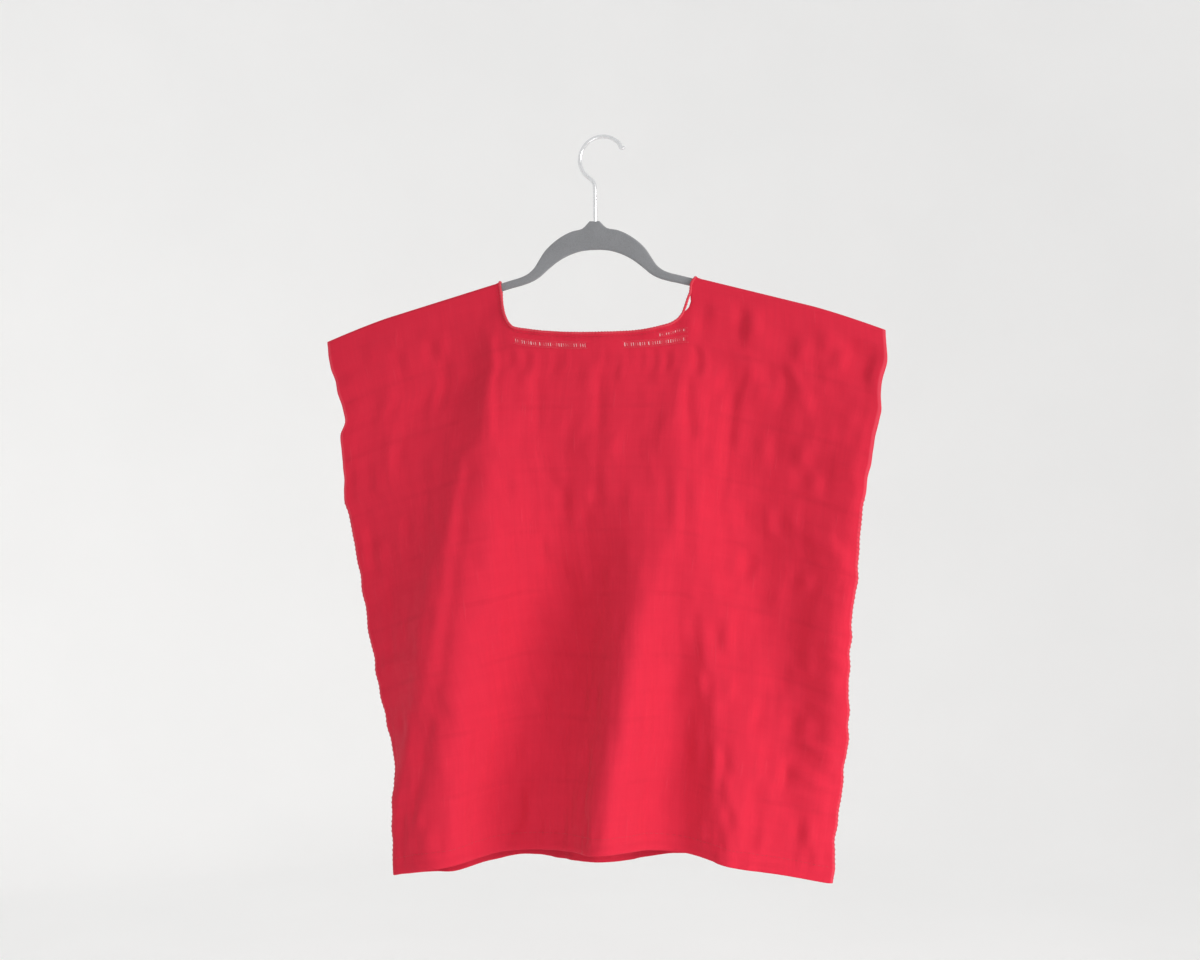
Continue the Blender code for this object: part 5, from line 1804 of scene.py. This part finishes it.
class HUIPIL_PG_colours(bpy.types.PropertyGroup):
    """Colours of the cloth, the threads and the hanger."""

    cotton: FloatVectorProperty(name="Cotton", description="Colour of the woven cotton",
                                default=(0.60, 0.022, 0.049), min=0, max=1, subtype="COLOR")
    # Paler worn threads and slubs, and the painted sheen of the paler band along the selvedges.
    pale_threads_and_edge_sheen: FloatVectorProperty(name="Selvedge", description="Paler worn threads and selvedges",
                                  default=(0.72, 0.10, 0.14), min=0, max=1, subtype="COLOR")
    edge: FloatVectorProperty(name="Neck edge", description="Colour of the rolled neck edge",
                              default=(0.63, 0.032, 0.058), min=0, max=1, subtype="COLOR")
    openwork: FloatVectorProperty(name="Openwork", description="Colour of the openwork's bundles",
                                  default=(0.62, 0.030, 0.058), min=0, max=1, subtype="COLOR")
    thread: FloatVectorProperty(name="Sewing thread", description="Colour of the sewing thread",
                                default=(0.46, 0.015, 0.034), min=0, max=1, subtype="COLOR")
    flock: FloatVectorProperty(name="Flock", description="Colour of the flocked hanger",
                               default=(0.20, 0.205, 0.215), min=0, max=1, subtype="COLOR")
    steel: FloatVectorProperty(name="Steel", description="Colour of the plated hook",
                               default=(0.80, 0.81, 0.82), min=0, max=1, subtype="COLOR")


class HUIPIL_PG_stage(bpy.types.PropertyGroup):
    """Floor and lights."""

    floor: FloatVectorProperty(name="Floor", description="Colour of the pale floor",
                               default=(0.97, 0.97, 0.965), min=0, max=1, subtype="COLOR")
    key_power: FloatProperty(name="Key light", description="Power of the soft window light",
                             default=8.3, min=0.0, unit="POWER")
    glow_power: FloatProperty(name="Floor glow", description="Power of the light from the floor",
                              default=0.95, min=0.0, unit="POWER")
    world: FloatProperty(name="World", description="Strength of the even light from all round",
                         default=0.83, min=0.0, max=4.0, subtype="FACTOR")


def settings():
    """The three groups of settings."""
    scene = bpy.context.scene
    return scene.huipil_sizes, scene.huipil_colours, scene.huipil_stage


# ---- operators ----------------------------------------------------------------------
class HUIPIL_OT_cloth(bpy.types.Operator):
    """Makes the front and back of the blouse."""

    bl_idname = "huipil.make_cloth"
    bl_label = "Cloth"

    def execute(self, context):
        sizes, colours, _ = settings()
        for side, node in ((FRONT, "front_panel"), (BACK, "back_panel")):
            made = make_cloth(side, sizes, colours)
            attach(made, "root")
            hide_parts(node)
        return {"FINISHED"}


class HUIPIL_OT_neck(bpy.types.Operator):
    """Makes the rolled neck edge and its oversewing."""

    bl_idname = "huipil.make_neck"
    bl_label = "Rolled neck"

    def execute(self, context):
        sizes, colours, _ = settings()
        roll, wrap = make_neck_roll(sizes, colours)
        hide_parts("neck_roll")
        for made in (roll, wrap):
            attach(made, "root")
        return {"FINISHED"}


class HUIPIL_OT_sewing(bpy.types.Operator):
    """Makes the openwork bundles and all the stitches."""

    bl_idname = "huipil.make_sewing"
    bl_label = "Openwork and stitches"

    def execute(self, context):
        sizes, colours, _ = settings()
        pieces = [make_openwork(sizes, colours), make_side_stitches(sizes, colours)]
        pieces += make_stitches(FRONT, sizes, colours)
        pieces += make_stitches(BACK, sizes, colours)
        for made in pieces:
            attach(made, "root")
        return {"FINISHED"}


class HUIPIL_OT_hanger(bpy.types.Operator):
    """Makes the flocked hanger and its wire hook."""

    bl_idname = "huipil.make_hanger"
    bl_label = "Hanger"

    def execute(self, context):
        colours = settings()[1]
        for build, node, slot in ((make_hanger, "hanger_body", "flock"),
                                  (make_hook, "hanger_hook", "steel")):
            made = build(colours)
            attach(made, "root")
            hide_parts(node)
        return {"FINISHED"}


class HUIPIL_OT_stage(bpy.types.Operator):
    """Makes the pale floor, the lights and the camera."""

    bl_idname = "huipil.make_stage"
    bl_label = "Stage"

    def execute(self, context):
        stage = settings()[2]
        make_camera()
        make_bowl(stage.floor)
        make_area_light(KEY, stage.key_power)
        make_area_light(GLOW, stage.glow_power)
        make_world(stage.world)
        context.scene.view_settings.view_transform = "Standard"
        return {"FINISHED"}


class HUIPIL_PT_panel(bpy.types.Panel):
    """Lists the parts of the blouse and its hanger."""

    bl_idname = "HUIPIL_PT_panel"
    bl_label = "Huipil"
    bl_space_type = "VIEW_3D"
    bl_region_type = "UI"
    bl_category = "Huipil"

    def draw(self, context):
        for group in settings():
            box = self.layout.box()
            for name in group.__annotations__:
                box.prop(group, name)
        for operator in OPERATORS:
            self.layout.operator(operator.bl_idname)


GROUPS = (HUIPIL_PG_sizes, HUIPIL_PG_colours, HUIPIL_PG_stage)
OPERATORS = (HUIPIL_OT_stage, HUIPIL_OT_cloth, HUIPIL_OT_neck, HUIPIL_OT_sewing, HUIPIL_OT_hanger)


def register():
    for cls in (*GROUPS, *OPERATORS, HUIPIL_PT_panel):
        bpy.utils.register_class(cls)
    bpy.types.Scene.huipil_sizes = PointerProperty(type=HUIPIL_PG_sizes)
    bpy.types.Scene.huipil_colours = PointerProperty(type=HUIPIL_PG_colours)
    bpy.types.Scene.huipil_stage = PointerProperty(type=HUIPIL_PG_stage)


def unregister():
    del bpy.types.Scene.huipil_sizes
    del bpy.types.Scene.huipil_colours
    del bpy.types.Scene.huipil_stage
    for cls in reversed((*GROUPS, *OPERATORS, HUIPIL_PT_panel)):
        bpy.utils.unregister_class(cls)


def main():
    register()
    bpy.ops.huipil.make_stage()
    bpy.ops.huipil.make_cloth()
    bpy.ops.huipil.make_neck()
    bpy.ops.huipil.make_sewing()
    bpy.ops.huipil.make_hanger()


if __name__ == "__main__":
    main()
